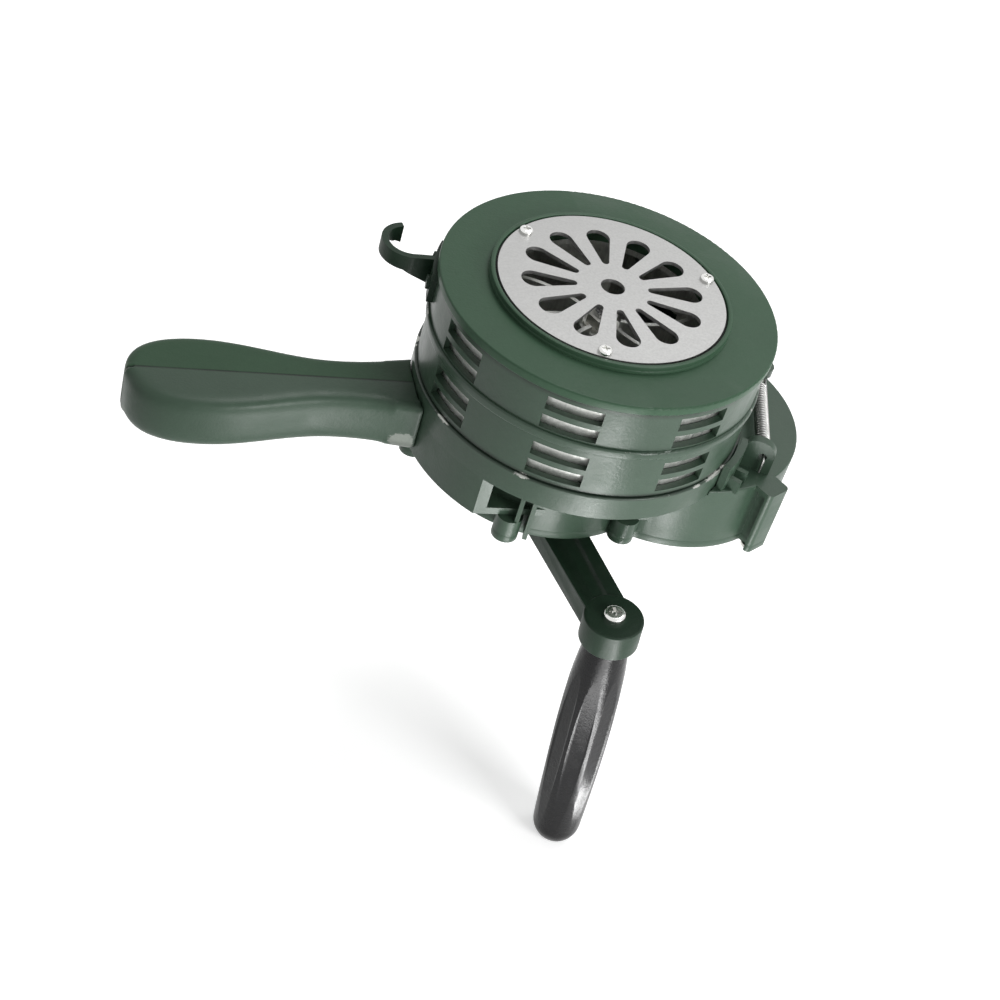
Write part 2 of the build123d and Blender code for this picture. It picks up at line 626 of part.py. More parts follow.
def rivet_angles():
    """Angles of the two rivets of the hook's foot."""
    half = degrees(HOOK_RIVET_HALF_WIDTH / SHUTTER_OUTER)
    return (hook_angle() - half, hook_angle() + half)


def rivet_height():
    """Height of the hook's rivets."""
    return -HOOK_TOP_DEPTH - HOOK_ROOT_HEIGHT / 2


def radial_rod(radius, r_from, r_to, angle, z):
    """Cylinder lying along a radius."""
    along = Rot(0, 90, 0) * Cylinder(radius, r_to - r_from, align=STANDING)
    return Rot(0, 0, angle) * Pos(r_from, 0, z) * along


def trigger_hook():
    """Finger hook: a tapering strip on edge that curls back on itself, on a curved foot."""
    top = -HOOK_TOP_DEPTH
    centre_y = HOOK_LINE_Y + HOOK_CURL_RADIUS
    start = (-SHUTTER_OUTER * cos(radians(180 - hook_angle())), HOOK_LINE_Y)
    bend = (HOOK_CURL_CENTRE_X, HOOK_LINE_Y)
    middle = polar(HOOK_CURL_RADIUS, 270 - HOOK_CURL_ANGLE / 2, (HOOK_CURL_CENTRE_X, centre_y))
    end = polar(HOOK_CURL_RADIUS, 270 - HOOK_CURL_ANGLE, (HOOK_CURL_CENTRE_X, centre_y))
    path = Line(start, bend) + ThreePointArc(bend, middle, end)
    strip = extrude(
        Pos(0, 0, top - HOOK_ROOT_HEIGHT) * trace(path, HOOK_THICKNESS), HOOK_ROOT_HEIGHT, dir=(0, 0, 1)
    )
    far = HOOK_CURL_CENTRE_X - HOOK_CURL_RADIUS - HOOK_THICKNESS
    low_root = top - HOOK_ROOT_HEIGHT
    low_tip = top - HOOK_TIP_HEIGHT
    with BuildPart() as taper:
        with BuildSketch(Plane.XZ):
            with BuildLine():
                Polyline(
                    (start[0] + EPS, low_root - EPS), (start[0] + EPS, low_root), (start[0], low_root),
                    (bend[0] - HOOK_TAPER_END, low_tip), (far - EPS, low_tip), (far - EPS, low_root - EPS),
                    close=True,
                )
            make_face()
        extrude(amount=FAR, both=True)
    strip -= taper.part
    foot = tube(SHUTTER_OUTER + HOOK_FOOT_THICKNESS, SHUTTER_OUTER, top, low_root)
    half = HOOK_FOOT_ANGLE / 2
    keep = sector(hook_angle() - half, hook_angle() + half)
    foot &= extrude(Pos(0, 0, low_root) * keep, HOOK_ROOT_HEIGHT, dir=(0, 0, 1))
    hook = foot + (strip - rod(SHUTTER_OUTER, top + EPS, low_root - EPS))
    for angle in rivet_angles():
        hook -= radial_rod(HOOK_RIVET_RADIUS, SHUTTER_OUTER - EPS, FAR, angle, rivet_height())
    return hook


def hook_rivets():
    """Two rivets through the hook's foot and the ring."""
    shapes = []
    seat = SHUTTER_OUTER + HOOK_FOOT_THICKNESS
    for angle in rivet_angles():
        height = rivet_height()
        shank = radial_rod(HOOK_RIVET_RADIUS, SHUTTER_INNER + HOOK_RIVET_TAIL, seat, angle, height)
        head = radial_rod(HOOK_RIVET_HEAD_RADIUS, seat, seat + HOOK_RIVET_HEAD_HEIGHT, angle, height)
        shapes.append(shank + head)
    return group(shapes)


def spring_post():
    """Headed pin that carries the spring's upper loop under the ring's lug."""
    at = polar(POST_CENTRE_RADIUS, POST_ANGLE)
    lug_top = SHUTTER_BOTTOM + POST_LUG_THICKNESS
    low = -SPRING_DEPTH - POST_TAIL
    pin = rod(POST_RADIUS, lug_top, low, at)
    pin += rod(POST_RADIUS + POST_HEAD, lug_top + POST_HEAD_HEIGHT, lug_top, at)
    return pin + rod(POST_RADIUS + POST_FOOT, low + POST_FOOT_HEIGHT, low, at)


# ---- base ring and bearings -------------------------------------------------
def base_screw_places():
    """Places of the screws that join base ring, bearing plate and housing."""
    return [polar(BASE_SCREW_CIRCLE_RADIUS, angle) for angle in BASE_SCREW_ANGLES]


def stator_base():
    """Base ring with a ribbed plate and the pocketed hub of both rotor bearings."""
    body = rod(BASE_RADIUS, DRUM_BOTTOM, BASE_BOTTOM)
    body = fillet(body.edges().group_by(Axis.Z)[-1], FLANGE_EDGE_ROUND)
    body -= rod(BASE_RADIUS - BASE_WALL, BASE_UNDER, BASE_BOTTOM - EPS)
    half = BASE_RIB_THICKNESS / 2
    outer = BASE_RADIUS - BASE_WALL + EPS
    for rib in range(BASE_RIB_COUNT):
        bar = block(BEARING_HUB_RADIUS - EPS, outer, -half, half, BEARING_PLATE_TOP, BASE_UNDER)
        body += Rot(0, 0, BASE_RIB_PHASE + rib * 360.0 / BASE_RIB_COUNT) * bar
    body -= rods(DRUM_SCREW_RADIUS, DRUM_BOTTOM + EPS, BASE_BOTTOM, drum_screw_places())
    body += rod(BEARING_HUB_RADIUS, BEARING_TOP, BEARING_HUB_BOTTOM)
    body += rods(BASE_BOSS_RADIUS, BASE_UNDER, BEARING_PLATE_TOP, base_screw_places())
    body -= rod(BEARING_RADIUS, BEARING_TOP + EPS, BEARING_TOP - BEARING_WIDTH)
    body -= rod(BEARING_RADIUS, LOWER_BEARING_TOP, BEARING_HUB_BOTTOM - EPS)
    body -= rod(BEARING_RADIUS - BEARING_LIP, BEARING_TOP, BEARING_HUB_BOTTOM)
    return body - rods(BASE_SCREW_RADIUS, BASE_SCREW_TOP, BASE_BOTTOM, base_screw_places())


def bearing(z_top):
    """Ball bearing drawn as its two rings and the shield between them."""
    low = z_top - BEARING_WIDTH
    rings = tube(BEARING_RADIUS, BEARING_BORE_RADIUS, z_top, low)
    groove_in = BEARING_BORE_RADIUS + BEARING_RING_WALL
    groove_out = BEARING_RADIUS - BEARING_RING_WALL
    rings -= tube(groove_out, groove_in, z_top + EPS, z_top - BEARING_SHIELD_INSET)
    return rings - tube(groove_out, groove_in, low + BEARING_SHIELD_INSET, low - EPS)


def upper_bearing():
    """Bearing under the rotor."""
    return bearing(BEARING_TOP)


def lower_bearing():
    """Bearing above the rotor pinion."""
    return bearing(LOWER_BEARING_TOP)


def bearing_plate():
    """Steel plate on the gear case that carries the two gear axles."""
    outer = BASE_RADIUS - BASE_WALL - PLATE_FIT
    plate = tube(outer, BEARING_HUB_RADIUS + PLATE_FIT, BEARING_PLATE_TOP, BASE_BOTTOM)
    plate -= rods(AXLE_RADIUS, BEARING_PLATE_TOP + EPS, BASE_BOTTOM - EPS, [FIRST_AXIS, SECOND_AXIS])
    return plate - rods(BASE_SCREW_RADIUS, BEARING_PLATE_TOP + EPS, BASE_BOTTOM - EPS, base_screw_places())


# ---- gear housing -----------------------------------------------------------
CAVITY_RADIUS = CASE_RADIUS - HOUSING_WALL
LOBE_CAVITY_RADIUS = LOBE_RADIUS - HOUSING_WALL
SECOND_GEAR_ROOM = GEAR_MODULE * (SECOND_GEAR_TEETH / 2 + 1) + GEAR_TIP_ROOM
SECOND_PINION_ROOM = GEAR_MODULE * (SECOND_PINION_TEETH / 2 + 1) + GEAR_TIP_ROOM


def case_lug_places():
    """Screw lugs round the gear case."""
    return [polar(LUG_CENTRE_RADIUS, angle, CRANK_AXIS) for angle in CASE_LUG_ANGLES]


def pillar_places():
    """Cover screws in the pillars round the lobe."""
    return [polar(PILLAR_CENTRE_RADIUS, angle, FIRST_AXIS) for angle in PILLAR_ANGLES]


def pillar(angle, z_top, z_bottom, groove_top):
    """Upright corner pillar with a rounded outer edge and an open groove down one side."""
    half = PILLAR_WIDTH / 2
    body = block(LOBE_CAVITY_RADIUS, PILLAR_CENTRE_RADIUS + PILLAR_END, -half, half, z_bottom, z_top)
    body = fillet(body.edges().filter_by(Axis.Z).group_by(Axis.X)[-1], PILLAR_ROUND)
    groove = pillar_groove(z_bottom, groove_top)
    return Pos(FIRST_AXIS[0], FIRST_AXIS[1], 0) * Rot(0, 0, angle) * (body - groove)


def pillar_groove(z_bottom, groove_top):
    """Cutter of the groove, for a pillar that stands out along +X."""
    low = LOBE_RADIUS - PILLAR_GROOVE_INSET
    near = -PILLAR_WIDTH / 2
    return block(
        low, low + PILLAR_GROOVE_WIDTH, near - EPS, near + PILLAR_GROOVE_DEPTH, z_bottom - EPS, groove_top
    )


def spring_ear():
    """Rounded ear on the lobe's shoulder with the hole of the spring's lower hook."""
    top = LOBE_TOP + EAR_HEIGHT
    half = EAR_THICKNESS / 2
    plate = block(EAR_INNER_RADIUS, EAR_OUTER_RADIUS, -half, half, LOBE_TOP - EPS, top)
    ear_round = (EAR_OUTER_RADIUS - EAR_INNER_RADIUS) * EAR_ROUND_SHARE
    plate = fillet(plate.edges().filter_by(Axis.Y).group_by(Axis.Z)[-1], ear_round)
    hole = Rot(90, 0, 0) * Cylinder(EAR_HOLE_RADIUS, EAR_THICKNESS + EPS)
    return Rot(0, 0, EAR_ANGLE) * (plate - Pos(SPRING_EAR_RADIUS, 0, -SPRING_DEPTH) * hole)


def ring_guard():
    """Low curved guard beside the shutter ring, from the ear towards the front."""
    foot = LOBE_TOP - EPS
    outer = GUARD_INNER_RADIUS + GUARD_THICKNESS
    guard = tube(outer, GUARD_INNER_RADIUS, -GUARD_TOP_DEPTH, foot)
    keep = Pos(0, 0, foot) * sector(EAR_ANGLE - GUARD_ARC_ANGLE, EAR_ANGLE)
    guard &= extrude(keep, -foot, dir=(0, 0, 1))
    half = GUARD_RIB_THICKNESS / 2
    for angle in GUARD_RIB_ANGLES:
        rib = block(outer - EPS, outer + GUARD_RIB_LENGTH, -half, half, foot, -GUARD_RIB_TOP_DEPTH)
        guard += Rot(0, 0, angle) * rib
    return guard


def gear_housing():
    """Cast housing: gear case, side lobe, handle side skirt, lugs, pillars and spring ear."""
    rim = BASE_BOTTOM
    lobe = rod(LOBE_RADIUS, LOBE_TOP, COVER_TOP, FIRST_AXIS)
    lobe = fillet(lobe.edges().group_by(Axis.Z)[-1], FLANGE_EDGE_ROUND)
    for angle in PILLAR_ANGLES:
        lobe += pillar(angle, LOBE_TOP, COVER_TOP, LOBE_TOP - PILLAR_TOP_SKIN)
    lobe -= rod(BASE_RADIUS + RUNNING_GAP, LOBE_TOP + EPS, rim)
    inner_screw, *skirt_screws = base_screw_places()
    skirt = rod(SKIRT_RADIUS, rim, SKIRT_BOTTOM) - rod(SKIRT_RADIUS - HOUSING_WALL, rim + EPS, FLOOR_TOP)
    skirt += rods(LUG_RADIUS, rim, SKIRT_BOTTOM, skirt_screws)
    skirt -= block(-FAR, FAR, -FAR, SKIRT_FRONT_Y, SKIRT_BOTTOM - EPS, rim + EPS)
    body = lobe + skirt + rod(CASE_RADIUS, rim, COVER_TOP, CRANK_AXIS)
    body += rod(SECOND_GEAR_ROOM + HOUSING_WALL, rim, SKIRT_BOTTOM, SECOND_AXIS)
    body += rods(LUG_RADIUS, COVER_TOP + LUG_HEIGHT, COVER_TOP, case_lug_places())
    body += lug_fins() + handle_tang()
    body -= rod(CAVITY_RADIUS, rim + EPS, COVER_TOP - EPS, CRANK_AXIS)
    body -= rod(LOBE_CAVITY_RADIUS, rim, COVER_TOP - EPS, FIRST_AXIS)
    body -= rod(SECOND_GEAR_ROOM, rim + EPS, FLOOR_TOP, SECOND_AXIS)
    body -= rod(SECOND_PINION_ROOM, rim + EPS, FLOOR_TOP - PINION_POCKET, SECOND_AXIS)
    body += rod(LUG_RADIUS, rim, SKIRT_BOTTOM, inner_screw)
    body -= rods(BASE_SCREW_RADIUS, rim + EPS, SKIRT_BOTTOM - EPS, base_screw_places())
    body -= rods(COVER_SCREW_RADIUS, COVER_TOP + COVER_SCREW_BITE + EPS, COVER_TOP - EPS,
                 case_lug_places() + pillar_places())
    return body + spring_ear() + ring_guard()


def lug_fins():
    """Pairs of upright fins on the case wall beside the two front lugs."""
    fins = []
    half = LUG_FIN_THICKNESS / 2
    for lug_angle in CASE_LUG_ANGLES[-2:]:
        for offset in LUG_FIN_ANGLES:
            fin = block(CASE_RADIUS - EPS, LUG_FIN_RADIUS, -half, half, COVER_TOP, BASE_BOTTOM)
            fins.append(Pos(CRANK_AXIS[0], CRANK_AXIS[1], 0) * Rot(0, 0, lug_angle + offset) * fin)
    return fins[0] + fins[1:]


def handle_tang():
    """Bar cast on the housing that the grip halves clamp."""
    half = TANG_THICKNESS / 2
    bar = block(TANG_END_X, -SKIRT_RADIUS + HOUSING_WALL, -TANG_HALF_WIDTH, TANG_HALF_WIDTH,
                TANG_MIDDLE - half, TANG_MIDDLE + half)
    reach = TANG_HALF_WIDTH + EPS
    return bar - cross_rod(HANDLE_SCREW_RADIUS, -reach, reach, HANDLE_SCREW_XS[0])


def cross_rod(radius, y_low, y_high, x):
    """Cylinder across the handle at the tang's mid height."""
    bar = Rot(-90, 0, 0) * Cylinder(radius, y_high - y_low, align=STANDING)
    return Pos(x, y_low, TANG_MIDDLE) * bar


def gear_cover():
    """Bottom cover with screw ears and the boss of the crank bush."""
    body = rod(CASE_RADIUS, COVER_TOP, COVER_BOTTOM, CRANK_AXIS)
    body += rod(LOBE_RADIUS, COVER_TOP, COVER_BOTTOM, FIRST_AXIS)
    for angle in PILLAR_ANGLES:
        body += pillar(angle, COVER_TOP, COVER_BOTTOM, COVER_TOP + EPS)
    body += rods(LUG_RADIUS, COVER_TOP, COVER_BOTTOM, case_lug_places())
    bush_radius = CRANK_SHAFT_RADIUS + SHAFT_CLEARANCE + CRANK_BUSH_WALL
    body += rod(bush_radius + COVER_BOSS_WALL, SPIGOT_TOP, COVER_BOSS_BOTTOM, CRANK_AXIS)
    body += rod(AXLE_RADIUS + AXLE_SEAT_WALL, SPIGOT_TOP, COVER_BOTTOM, FIRST_AXIS)
    body -= rod(bush_radius, SPIGOT_TOP + EPS, COVER_BOSS_BOTTOM - EPS, CRANK_AXIS)
    body -= rod(AXLE_RADIUS, SPIGOT_TOP + EPS, COVER_BOTTOM + AXLE_SEAT_SKIN, FIRST_AXIS)
    places = case_lug_places() + pillar_places()
    return body - rods(COVER_SCREW_RADIUS, COVER_TOP + EPS, COVER_BOTTOM - EPS, places)


def cover_screws():
    """Screws that hold the bottom cover, heads underneath."""
    shapes = []
    for place in case_lug_places() + pillar_places():
        head = rod(COVER_SCREW_HEAD_RADIUS, COVER_BOTTOM, COVER_BOTTOM - COVER_SCREW_HEAD_HEIGHT, place)
        head = fillet(head.edges().group_by(Axis.Z)[0], COVER_SCREW_HEAD_ROUND)
        shapes.append(head + rod(COVER_SCREW_RADIUS, COVER_TOP + COVER_SCREW_BITE, COVER_BOTTOM, place))
    return group(shapes)


def base_screws():
    """Screws from under the housing through the bearing plate into the base ring."""
    shapes = []
    for place in base_screw_places():
        shank = rod(BASE_SCREW_RADIUS, BASE_SCREW_TOP, SKIRT_BOTTOM, place)
        head = rod(BASE_SCREW_HEAD_RADIUS, SKIRT_BOTTOM, SKIRT_BOTTOM - BASE_SCREW_HEAD_HEIGHT, place)
        shapes.append(shank + head)
    return group(shapes)


def crank_bush():
    """Flanged bronze bush of the crank shaft in the cover."""
    bore = CRANK_SHAFT_RADIUS + SHAFT_CLEARANCE
    flange_low = COVER_BOSS_BOTTOM - CRANK_BUSH_FLANGE
    bush = rod(bore + CRANK_BUSH_WALL, SPIGOT_TOP, COVER_BOSS_BOTTOM, CRANK_AXIS)
    bush += rod(CRANK_BUSH_FLANGE_RADIUS, COVER_BOSS_BOTTOM, flange_low, CRANK_AXIS)
    return bush - rod(bore, SPIGOT_TOP + EPS, flange_low - EPS, CRANK_AXIS)


# ---- gear axles and clusters ------------------------------------------------
FIRST_PHASE = meshing_phase(FIRST_PINION_TEETH, FIRST_AXIS, CRANK_AXIS)
FIRST_GEAR_PHASE = heading(FIRST_AXIS, SECOND_AXIS)
SECOND_PHASE = meshing_phase(SECOND_PINION_TEETH, SECOND_AXIS, FIRST_AXIS)
SECOND_GEAR_PHASE = heading(SECOND_AXIS, (0.0, 0.0))
ROTOR_PINION_PHASE = meshing_phase(ROTOR_PINION_TEETH, (0.0, 0.0), SECOND_AXIS)


def first_axle():
    """Fixed axle of the first gear pair, held by cover and bearing plate."""
    return rod(AXLE_RADIUS, BEARING_PLATE_TOP, COVER_BOTTOM + AXLE_SEAT_SKIN, FIRST_AXIS)


def second_axle():
    """Fixed axle of the second gear pair, riveted in the bearing plate."""
    top = BEARING_PLATE_TOP + AXLE_HEAD_HEIGHT
    axle = rod(AXLE_RADIUS, top, MIDDLE_LAYER - GEAR_FACE - AXLE_END, SECOND_AXIS)
    return axle + rod(AXLE_RADIUS + AXLE_HEAD, top, BEARING_PLATE_TOP, SECOND_AXIS)


def wheel(teeth, z_top, at, phase, bore):
    """Large gear with lightening holes and a stepped web."""
    disc = gear(teeth, z_top, GEAR_FACE, at, phase)
    rim = GEAR_MODULE * (teeth / 2 - GEAR_RIM_MODULES)
    hub = bore + GEAR_HUB_WALL
    low = z_top - GEAR_FACE - EPS
    disc -= tube(rim, hub, z_top + EPS, z_top - GEAR_WEB_STEP, at)
    places = ring_places(GEAR_HOLE_COUNT, (rim + hub) / 2, phase + GEAR_HOLE_PHASE, at)
    disc -= rods((rim - hub) * GEAR_HOLE_SHARE, z_top + EPS, low, places)
    return disc - rod(bore, z_top + EPS, low, at)


def cluster_pinion(teeth, z_top, z_bottom, neck_top, at, phase):
    """Pinion with a neck that carries the larger gear above it."""
    body = gear(teeth, z_top, z_top - z_bottom, at, phase)
    body += rod(GEAR_NECK_RADIUS - PRESS_GAP, neck_top, z_top, at)
    return body - rod(AXLE_RADIUS + SHAFT_CLEARANCE, neck_top + EPS, z_bottom - EPS, at)


def first_gear():
    """Sixty tooth wheel on the first axle."""
    return wheel(FIRST_GEAR_TEETH, MIDDLE_LAYER, FIRST_AXIS, FIRST_GEAR_PHASE, GEAR_NECK_RADIUS)


def first_pinion():
    """Pinion on the first axle, driven by the crank wheel."""
    heights = (MIDDLE_LAYER - GEAR_FACE, BOTTOM_LAYER - GEAR_FACE, MIDDLE_LAYER)
    return cluster_pinion(FIRST_PINION_TEETH, *heights, FIRST_AXIS, FIRST_PHASE)


def second_gear():
    """Wheel on the second axle that drives the rotor pinion."""
    return wheel(SECOND_GEAR_TEETH, TOP_LAYER, SECOND_AXIS, SECOND_GEAR_PHASE, GEAR_NECK_RADIUS)


def second_pinion():
    """Pinion on the second axle, driven by the first wheel."""
    heights = (TOP_LAYER - GEAR_FACE, MIDDLE_LAYER - GEAR_FACE, TOP_LAYER)
    return cluster_pinion(SECOND_PINION_TEETH, *heights, SECOND_AXIS, SECOND_PHASE)


def rotor_pinion():
    """Pinion at the lower end of the rotor shaft."""
    pinion = gear(ROTOR_PINION_TEETH, TOP_LAYER, GEAR_FACE, (0, 0), ROTOR_PINION_PHASE)
    return pinion - rod(ROTOR_SHAFT_RADIUS + PRESS_GAP, TOP_LAYER + EPS, TOP_LAYER - GEAR_FACE - EPS)


# ---- crank ------------------------------------------------------------------
CRANK_BOSS_AT = polar(CRANK_ARM_LENGTH, CRANK_ARM_HEADING, CRANK_AXIS)


def crank_gear():
    """Large wheel on the crank shaft."""
    return wheel(CRANK_GEAR_TEETH, BOTTOM_LAYER, CRANK_AXIS, 0.0, CRANK_BORE)


def crank_shaft():
    """Crank shaft with the collar under its wheel."""
    low = ARM_BOTTOM - CRANK_NUT_HEIGHT - CRANK_THREAD_END
    body = rod(CRANK_SHAFT_RADIUS, BOTTOM_LAYER + CRANK_TOP_STUB, low, CRANK_AXIS)
    collar_radius = CRANK_SHAFT_RADIUS + CRANK_COLLAR
    return body + rod(collar_radius, BOTTOM_LAYER - GEAR_FACE, SPIGOT_TOP + SEAT_GAP, CRANK_AXIS)


def crank_clip():
    """Retaining ring above the crank wheel."""
    outer = CRANK_SHAFT_RADIUS + CRANK_CLIP_WALL
    return tube(outer, CRANK_BORE, BOTTOM_LAYER + CRANK_CLIP_HEIGHT, BOTTOM_LAYER, CRANK_AXIS)


def leaning(shape):
    """Turn a piece of the grip about the boss so that it leans from the crank axis."""
    pivot = (CRANK_BOSS_AT[0], CRANK_BOSS_AT[1], ARM_TOP)
    return Pos(*pivot) * Rot(0, -GRIP_LEAN, 0) * Pos(-pivot[0], -pivot[1], -pivot[2]) * shape


def crank_arm():
    """Flat cast arm with a hub on the shaft and a leaning boss at the grip end."""
    hub_half = CRANK_ARM_HUB_WIDTH / 2
    end_half = CRANK_ARM_END_WIDTH / 2
    corners = ((0, -hub_half), (CRANK_ARM_LENGTH, -end_half), (CRANK_ARM_LENGTH, end_half), (0, hub_half))
    turned = Rot(0, 0, CRANK_ARM_HEADING) * Polygon(*corners, align=None)
    bar = extrude(Pos(*CRANK_AXIS, ARM_BOTTOM) * turned, CRANK_ARM_THICKNESS, dir=(0, 0, 1))
    boss = fillet(rod(CRANK_BOSS_RADIUS, BOSS_TOP, BOSS_BOTTOM, CRANK_BOSS_AT).edges(), CRANK_BOSS_ROUND)
    arm = bar + rod(CRANK_HUB_RADIUS, HUB_TOP, ARM_BOTTOM, CRANK_AXIS) + leaning(boss)
    arm -= rod(CRANK_BORE, HUB_TOP + EPS, ARM_BOTTOM - EPS, CRANK_AXIS)
    spindle_bore = rod(GRIP_SPINDLE_RADIUS + PRESS_GAP, BOSS_TOP + EPS, BOSS_BOTTOM - EPS, CRANK_BOSS_AT)
    return arm - leaning(spindle_bore)


def crank_nut():
    """Nut that holds the arm on the shaft."""
    return hexagon_nut(CRANK_NUT_RADIUS, ARM_BOTTOM, ARM_BOTTOM - CRANK_NUT_HEIGHT, CRANK_BORE, CRANK_AXIS)


def grip_screw():
    """Long screw through the boss that is the grip's spindle."""
    length = BOSS_TOP - GRIP_BOTTOM - GRIP_SCREW_END
    head_and_shank = (GRIP_HEAD_RADIUS, GRIP_HEAD_HEIGHT, GRIP_SPINDLE_RADIUS, length)
    return leaning(pan_screw(*head_and_shank, CRANK_BOSS_AT, BOSS_TOP))


def grip_washer():
    """Washer between boss and grip."""
    bore = GRIP_SPINDLE_RADIUS + PRESS_GAP
    return leaning(tube(GRIP_WASHER_RADIUS, bore, BOSS_BOTTOM, BOSS_BOTTOM - GRIP_WASHER, CRANK_BOSS_AT))


def grip_nut():
    """Nut sunk in the grip's lower end."""
    top = GRIP_BOTTOM + GRIP_POCKET_DEPTH - SEAT_GAP
    bore = GRIP_SPINDLE_RADIUS + PRESS_GAP
    return leaning(hexagon_nut(GRIP_NUT_RADIUS, top, top - GRIP_NUT_HEIGHT, bore, CRANK_BOSS_AT))


def crank_grip():
    """Turning hand grip: a waisted, fluted plastic body on the spindle."""
    length = GRIP_LENGTH
    belly = (GRIP_BELLY_RADIUS, -GRIP_BELLY_SHARE * length)
    lower = (GRIP_BELLY_RADIUS - GRIP_LOWER_WAIST, -GRIP_LOWER_SHARE * length)
    with BuildPart() as body:
        with BuildSketch(Plane.XZ):
            with BuildLine():
                top = Line((0, 0), (GRIP_TOP_RADIUS - GRIP_RIM_BEVEL, 0))
                rim = Line(top @ 1, (GRIP_TOP_RADIUS, -GRIP_RIM_BEVEL))
                side = Spline(rim @ 1, belly, lower, (GRIP_END_RADIUS, -length + GRIP_DOME_HEIGHT))
                dome = TangentArc(side @ 1, (GRIP_DOME_FLAT, -length), tangent=side % 1)
                Polyline(dome @ 1, (0, -length), (0, 0))
            make_face()
        revolve(axis=Axis.Z)
    grip = body.part
    reach = GRIP_BELLY_RADIUS + GRIP_FLUTE_RADIUS - GRIP_FLUTE_DEPTH
    for place in ring_places(GRIP_FLUTES, reach, GRIP_FLUTE_PHASE):
        grip -= rod(GRIP_FLUTE_RADIUS, -GRIP_FLUTE_START, -length - EPS, place)
    grip -= rod(GRIP_SPINDLE_RADIUS + SHAFT_CLEARANCE, EPS, -length - EPS)
    grip -= rod(GRIP_POCKET_RADIUS, -length + GRIP_POCKET_DEPTH, -length - EPS)
    return leaning(Pos(CRANK_BOSS_AT[0], CRANK_BOSS_AT[1], GRIP_TOP) * grip)


# ---- rotor ------------------------------------------------------------------
def curved_vane(end_angle):
    """Backward curved vane from hub to wall."""
    start_angle = end_angle - ROTOR_VANE_SWEEP
    inner = polar(ROTOR_HUB_RADIUS - EPS, start_angle)
    outer = polar(ROTOR_RADIUS - ROTOR_WALL / 2, end_angle)
    middle_radius = (ROTOR_HUB_RADIUS + ROTOR_RADIUS) / 2
    middle = polar(middle_radius, start_angle + ROTOR_VANE_SWEEP * ROTOR_VANE_BOW)
    low = -ROTOR_BOTTOM_DEPTH + ROTOR_DISC - EPS
    outline = Pos(0, 0, low) * trace(ThreePointArc(inner, middle, outer), ROTOR_VANE_THICKNESS)
    return extrude(outline, -ROTOR_VANE_TOP_DEPTH - low, dir=(0, 0, 1))


def rotor():
    """Impeller and chopper in one: disc, curved vanes and the windowed wall."""
    low = -ROTOR_BOTTOM_DEPTH
    body = rod(ROTOR_RADIUS, low + ROTOR_DISC, low)
    body += tube(ROTOR_RADIUS, ROTOR_RADIUS - ROTOR_WALL, -ROTOR_TOP_DEPTH, low)
    for angle in stator_port_angles():
        for band in range(PORT_BANDS):
            middle = -PORT_TOP_DEPTH - band * PORT_BAND_PITCH - WINDOW_HEIGHT / 2
            z_top = middle + ROTOR_WINDOW_HEIGHT / 2
            body -= port_cutter(ROTOR_RADIUS, z_top, z_top - ROTOR_WINDOW_HEIGHT, angle)
        body += curved_vane(angle + 180.0 / PORT_COUNT)
    body += rod(ROTOR_HUB_RADIUS, -ROTOR_HUB_TOP_DEPTH, low - ROTOR_HUB_FOOT)
    return body - rod(ROTOR_SHAFT_RADIUS + PRESS_GAP, 0, low - ROTOR_HUB_FOOT - EPS)


def rotor_shaft():
    """Rotor shaft from the hub nut down through both bearings to the pinion."""
    top = -ROTOR_HUB_TOP_DEPTH + ROTOR_SHAFT_TOP
    return rod(ROTOR_SHAFT_RADIUS, top, TOP_LAYER - GEAR_FACE - ROTOR_SHAFT_END)


def rotor_spacer():
    """Spacer between rotor hub and upper bearing."""
    low = -ROTOR_BOTTOM_DEPTH - ROTOR_HUB_FOOT
    outer = ROTOR_SHAFT_RADIUS + ROTOR_SPACER_WALL
    return tube(outer, ROTOR_SHAFT_RADIUS + PRESS_GAP, low, BEARING_TOP + SEAT_GAP)


def rotor_nut():
    """Nut on top of the rotor hub."""
    low = -ROTOR_HUB_TOP_DEPTH + ROTOR_WASHER_THICKNESS
    return hexagon_nut(ROTOR_NUT_RADIUS, low + ROTOR_NUT_HEIGHT, low, ROTOR_SHAFT_RADIUS + PRESS_GAP)


def rotor_washer():
    """Washer under the rotor nut."""
    top = -ROTOR_HUB_TOP_DEPTH + ROTOR_WASHER_THICKNESS
    return tube(ROTOR_WASHER_RADIUS, ROTOR_SHAFT_RADIUS + PRESS_GAP, top, -ROTOR_HUB_TOP_DEPTH)


# ---- handle -----------------------------------------------------------------
def handle_outline(inset):
    """Plan of the handle: bulb, waist and root, drawn in by the inset."""
    root = (HANDLE_START_X + HANDLE_ROOT_OVERLAP, HANDLE_ROOT_HALF - inset)
    waist = (HANDLE_WAIST_X, HANDLE_WAIST_HALF - inset)
    bulb = (HANDLE_BULB_X, HANDLE_BULB_HALF - inset)
    tip = (HANDLE_END_X + inset, 0.0)
    half = Spline(root, waist, bulb, tip, tangents=(HANDLE_ROOT_TANGENT, (0, -1)))
    return make_face(half + mirror(half, Plane.XZ) + Line(root, (root[0], -root[1])))


def handle_body():
    """Outside of the handle before it is split."""
    body = extrude(Pos(0, 0, HANDLE_BOTTOM) * handle_outline(0.0), HANDLE_THICKNESS, dir=(0, 0, 1))
    body = fillet(body.edges().group_by(Axis.Z)[0], HANDLE_LOWER_ROUND)
    body = fillet(body.edges().group_by(Axis.Z)[-1], HANDLE_UPPER_ROUND)
    return body - rod(-HANDLE_START_X, HANDLE_TOP + EPS, HANDLE_BOTTOM - EPS)


